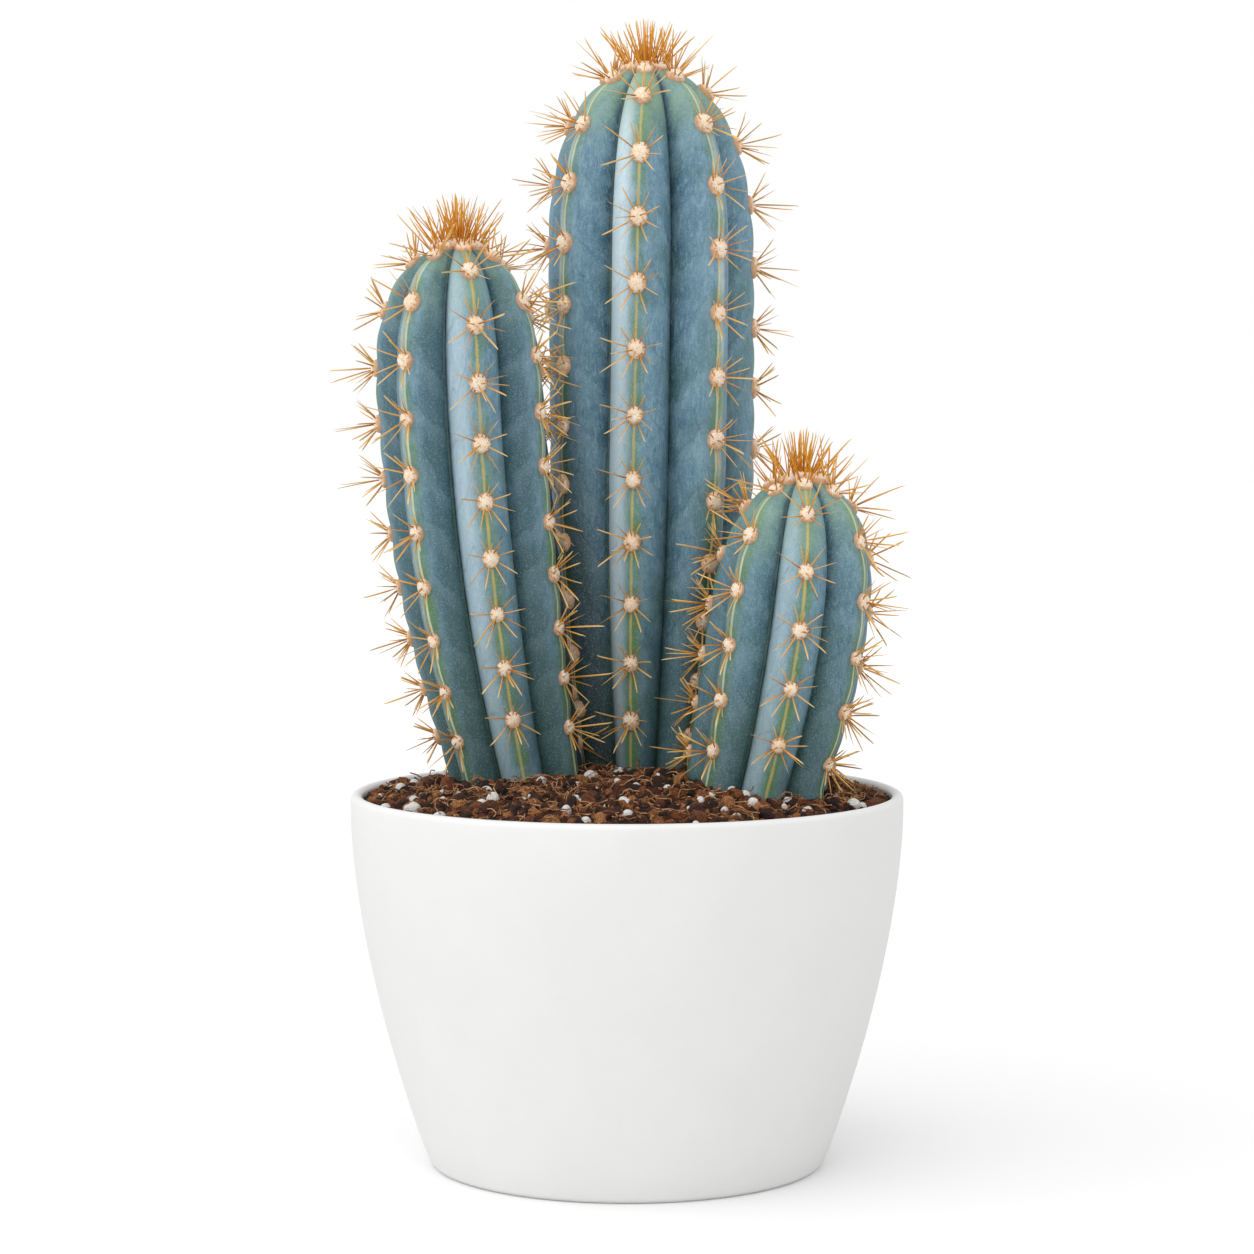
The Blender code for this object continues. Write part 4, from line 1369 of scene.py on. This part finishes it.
def scatterTree():
    # Rugged grains strewn over the bed, clear of the stems and the pot's wall.
    tree, given = newTree("strewnGrains", {
        **labelled(bits["crumbs"]), **labelled(mix, "reach"), "Stems": "NodeSocketObject",
        "Material": "NodeSocketMaterial",
    })
    dots, depth = strewnDots(tree, given, given["Reach"])
    size = drawn(tree, 0.0, 1.0, given["Seed"] + 1) ** 2.2 * (given["Most"] - given["Least"]) + given["Least"]
    dots = keepAs(tree, dots, "size", size)
    tooNear = maths(tree, "LESS_THAN", depth, Term(tree, named(tree, "size")) * 0.75)
    dots = geometryNode(tree, "DeleteGeometry", {"Geometry": dots, "Selection": tooNear}, domain="POINT")
    ball = geometryNode(tree, "MeshIcoSphere", {"Radius": 1.0, "Subdivisions": given["Fineness"]})
    spin = [drawn(tree, 0.0, 2 * math.pi, given["Seed"] + k) for k in (2, 3, 4)]
    big = Term(tree, named(tree, "size"))
    wide = big * drawn(tree, 1.0 - given["Flat"], 1.0, given["Seed"] + 5)
    thin = big * drawn(tree, 1.0 - given["Flat"] * 1.5, 1.0, given["Seed"] + 6)
    dots = moved(tree, dots, vectorOf(tree, 0.0, 0.0, big * given["Sink"] * -1.0))
    grains = geometryNode(tree, "InstanceOnPoints", {
        "Points": dots, "Instance": ball, "Rotation": vectorOf(tree, *spin),
        "Scale": vectorOf(tree, big, wide, thin),
    })
    grains = keepAs(tree, grains, "tone", drawn(tree, 0.0, 1.0, given["Seed"] + 7), "INSTANCE")
    grains = geometryNode(tree, "RealizeInstances", {"Geometry": grains})
    bulk = Term(tree, named(tree, "size"))
    coarse = noise(tree, herePlace(tree), 2.2 * mm, 2.0) - 0.5
    fine = noise(tree, herePlace(tree), 0.8 * mm, 2.0) - 0.5
    lift = (coarse * 1.4 + fine * 0.9) * bulk * given["Rugged"]
    grains = moved(tree, grains, vectorMaths(tree, "SCALE", hereNormal(tree), lift))
    return endTree(tree, grains, given["Material"])


fibres = {
    "density": 42000.0,
    "length": 8.0 * mm,
    "radius": 0.19 * mm,
    "wander": 3.2 * mm,
    "seed": 31,
}


def fibreFinish():
    material, tree = newMaterial("rootFibres")
    grain, blotches = grainAndBlotches(tree, 0.4 * mm, 4.0 * mm)
    straw = colourRamp(tree, blotches * 0.8 + grain * 0.2, (0.0, "5E391F"), (0.5, "A06C42"), (1.0, "DDB184"))
    return finished(material, straw, 0.75, grain, 0.1 * mm, 0.6)


def fibreTree():
    # Thin rootlets that wander over the mix.
    tree, given = newTree("wanderingFibres", {
        **labelled(fibres), **labelled(mix, "reach"), "Stems": "NodeSocketObject",
        "Material": "NodeSocketMaterial",
    })
    dots, depth = strewnDots(tree, given, given["Reach"] - given["Length"] * 0.5)
    dots = geometryNode(tree, "DeleteGeometry", {
        "Geometry": dots, "Selection": maths(tree, "LESS_THAN", depth, 1.0 * mm),
    }, domain="POINT")
    half = given["Length"] * 0.5
    line = geometryNode(tree, "CurvePrimitiveLine", {
        "Start": vectorOf(tree, half * -1.0, 0.0, 0.0), "End": vectorOf(tree, half, 0.0, 0.0),
    })
    line = geometryNode(tree, "ResampleCurve", {"Curve": line, "Count": 8})
    tilt = drawn(tree, -0.35, 0.35, given["Seed"] + 1)
    spin = drawn(tree, 0.0, 2 * math.pi, given["Seed"] + 2)
    scale = drawn(tree, 0.4, 1.3, given["Seed"] + 3)
    lines = geometryNode(tree, "InstanceOnPoints", {
        "Points": moved(tree, dots, (0.0, 0.0, 1.3 * mm)), "Instance": line,
        "Rotation": vectorOf(tree, 0.0, tilt, spin), "Scale": scale,
    })
    lines = geometryNode(tree, "RealizeInstances", {"Geometry": lines})
    drift = addNode(tree, "ShaderNodeTexNoise", {
        "Vector": herePlace(tree), "Scale": 1.0 / (4.0 * mm), "Detail": 1.0,
    }).outputs["Color"]
    drift = vectorMaths(tree, "SUBTRACT", drift, (0.5, 0.5, 0.5))
    lines = moved(tree, lines, vectorMaths(tree, "SCALE", drift, given["Wander"] * 2.0))
    ring = geometryNode(tree, "CurvePrimitiveCircle", {"Resolution": 4, "Radius": given["Radius"]})
    tubes = geometryNode(tree, "CurveToMesh", {"Curve": lines, "Profile Curve": ring, "Fill Caps": True})
    return endTree(tree, tubes, given["Material"])


def makeBed():
    outline = [(0.0, pot["floor"] + mix["gap"])]
    outline += [(r - mix["gap"], max(z, pot["floor"] + mix["gap"])) for r, z in insideOutline()
                if z < mix["edge"] - mix["sideStopsBelow"]]
    edgeRadius = potWall(mix["edge"]) - pot["wall"] - mix["gap"]
    rings = [edgeRadius * (1.0 - i / mix["rings"]) for i in range(mix["rings"] + 1)]
    outline += [(r, soilLevel(r)) for r in rings]
    smoothBed = evaluated(turned("bed", outline, mix["steps"]), "bed")
    mesh = smoothBed.data
    bpy.data.objects.remove(smoothBed, do_unlink=True)
    piece = grown("soil_bed", bedTree(), {**bedValues, "Material": bedFinish()}, mesh)
    smooth(piece, 60.0)
    return finishPiece(piece, "soil", "soil")


def joinedStems():
    # The three skins in one mesh, for the scatter to keep clear of.
    columns = linked(bpy.data.objects.new("columns", bpy.data.meshes.new("columns")))
    tree, given = newTree("joinSkins", {"First": "NodeSocketObject", "Second": "NodeSocketObject",
                                        "Third": "NodeSocketObject"})
    joint = tree.nodes.new("GeometryNodeJoinGeometry")
    for label in ("First", "Second", "Third"):
        found = addNode(tree, "GeometryNodeObjectInfo", {"Object": given[label]})
        tree.links.new(found.outputs["Geometry"], joint.inputs[0])
    tree.links.new(joint.outputs[0], tree.nodes.new("NodeGroupOutput").inputs[0])
    modifier = columns.modifiers.new("join", "NODES")
    modifier.node_group = tree
    names = [s.identifier for s in tree.interface.items_tree if s.in_out == "INPUT"][1:]
    for identifier, owner in zip(names, stems):
        modifier[identifier] = bpy.data.objects["stem_%s_skin" % owner]
    return evaluated(columns, "columns")


def makeMix():
    bed = makeBed()
    columns = joinedStems()
    tree = scatterTree()
    finishes = {"crumbs": crumbFinish(), "perlite": perliteFinish()}
    finishes["clods"] = finishes["crumbs"]
    for name, each in bits.items():
        piece = grown("soil_" + name, tree, {
            **labelled(each), **labelled(mix, "reach"), "Stems": columns, "Material": finishes[name],
        }, bed.data)
        smooth(piece, 28.0)
        finishPiece(piece, "soil", "soil")
        print("soil", name, "made with", len(piece.data.polygons), "faces")
    piece = grown("soil_fibres", fibreTree(), {
        **labelled(fibres), **labelled(mix, "reach"), "Stems": columns, "Material": fibreFinish(),
    }, bed.data)
    finishPiece(piece, "soil", "soil")
    bpy.data.objects.remove(columns, do_unlink=True)


makeMix()
print("potting mix made")

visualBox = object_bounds()
[[list(corner) for corner in box] for box in (cadBox, visualBox)]
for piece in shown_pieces():
    print(piece.name, len(piece.data.polygons))
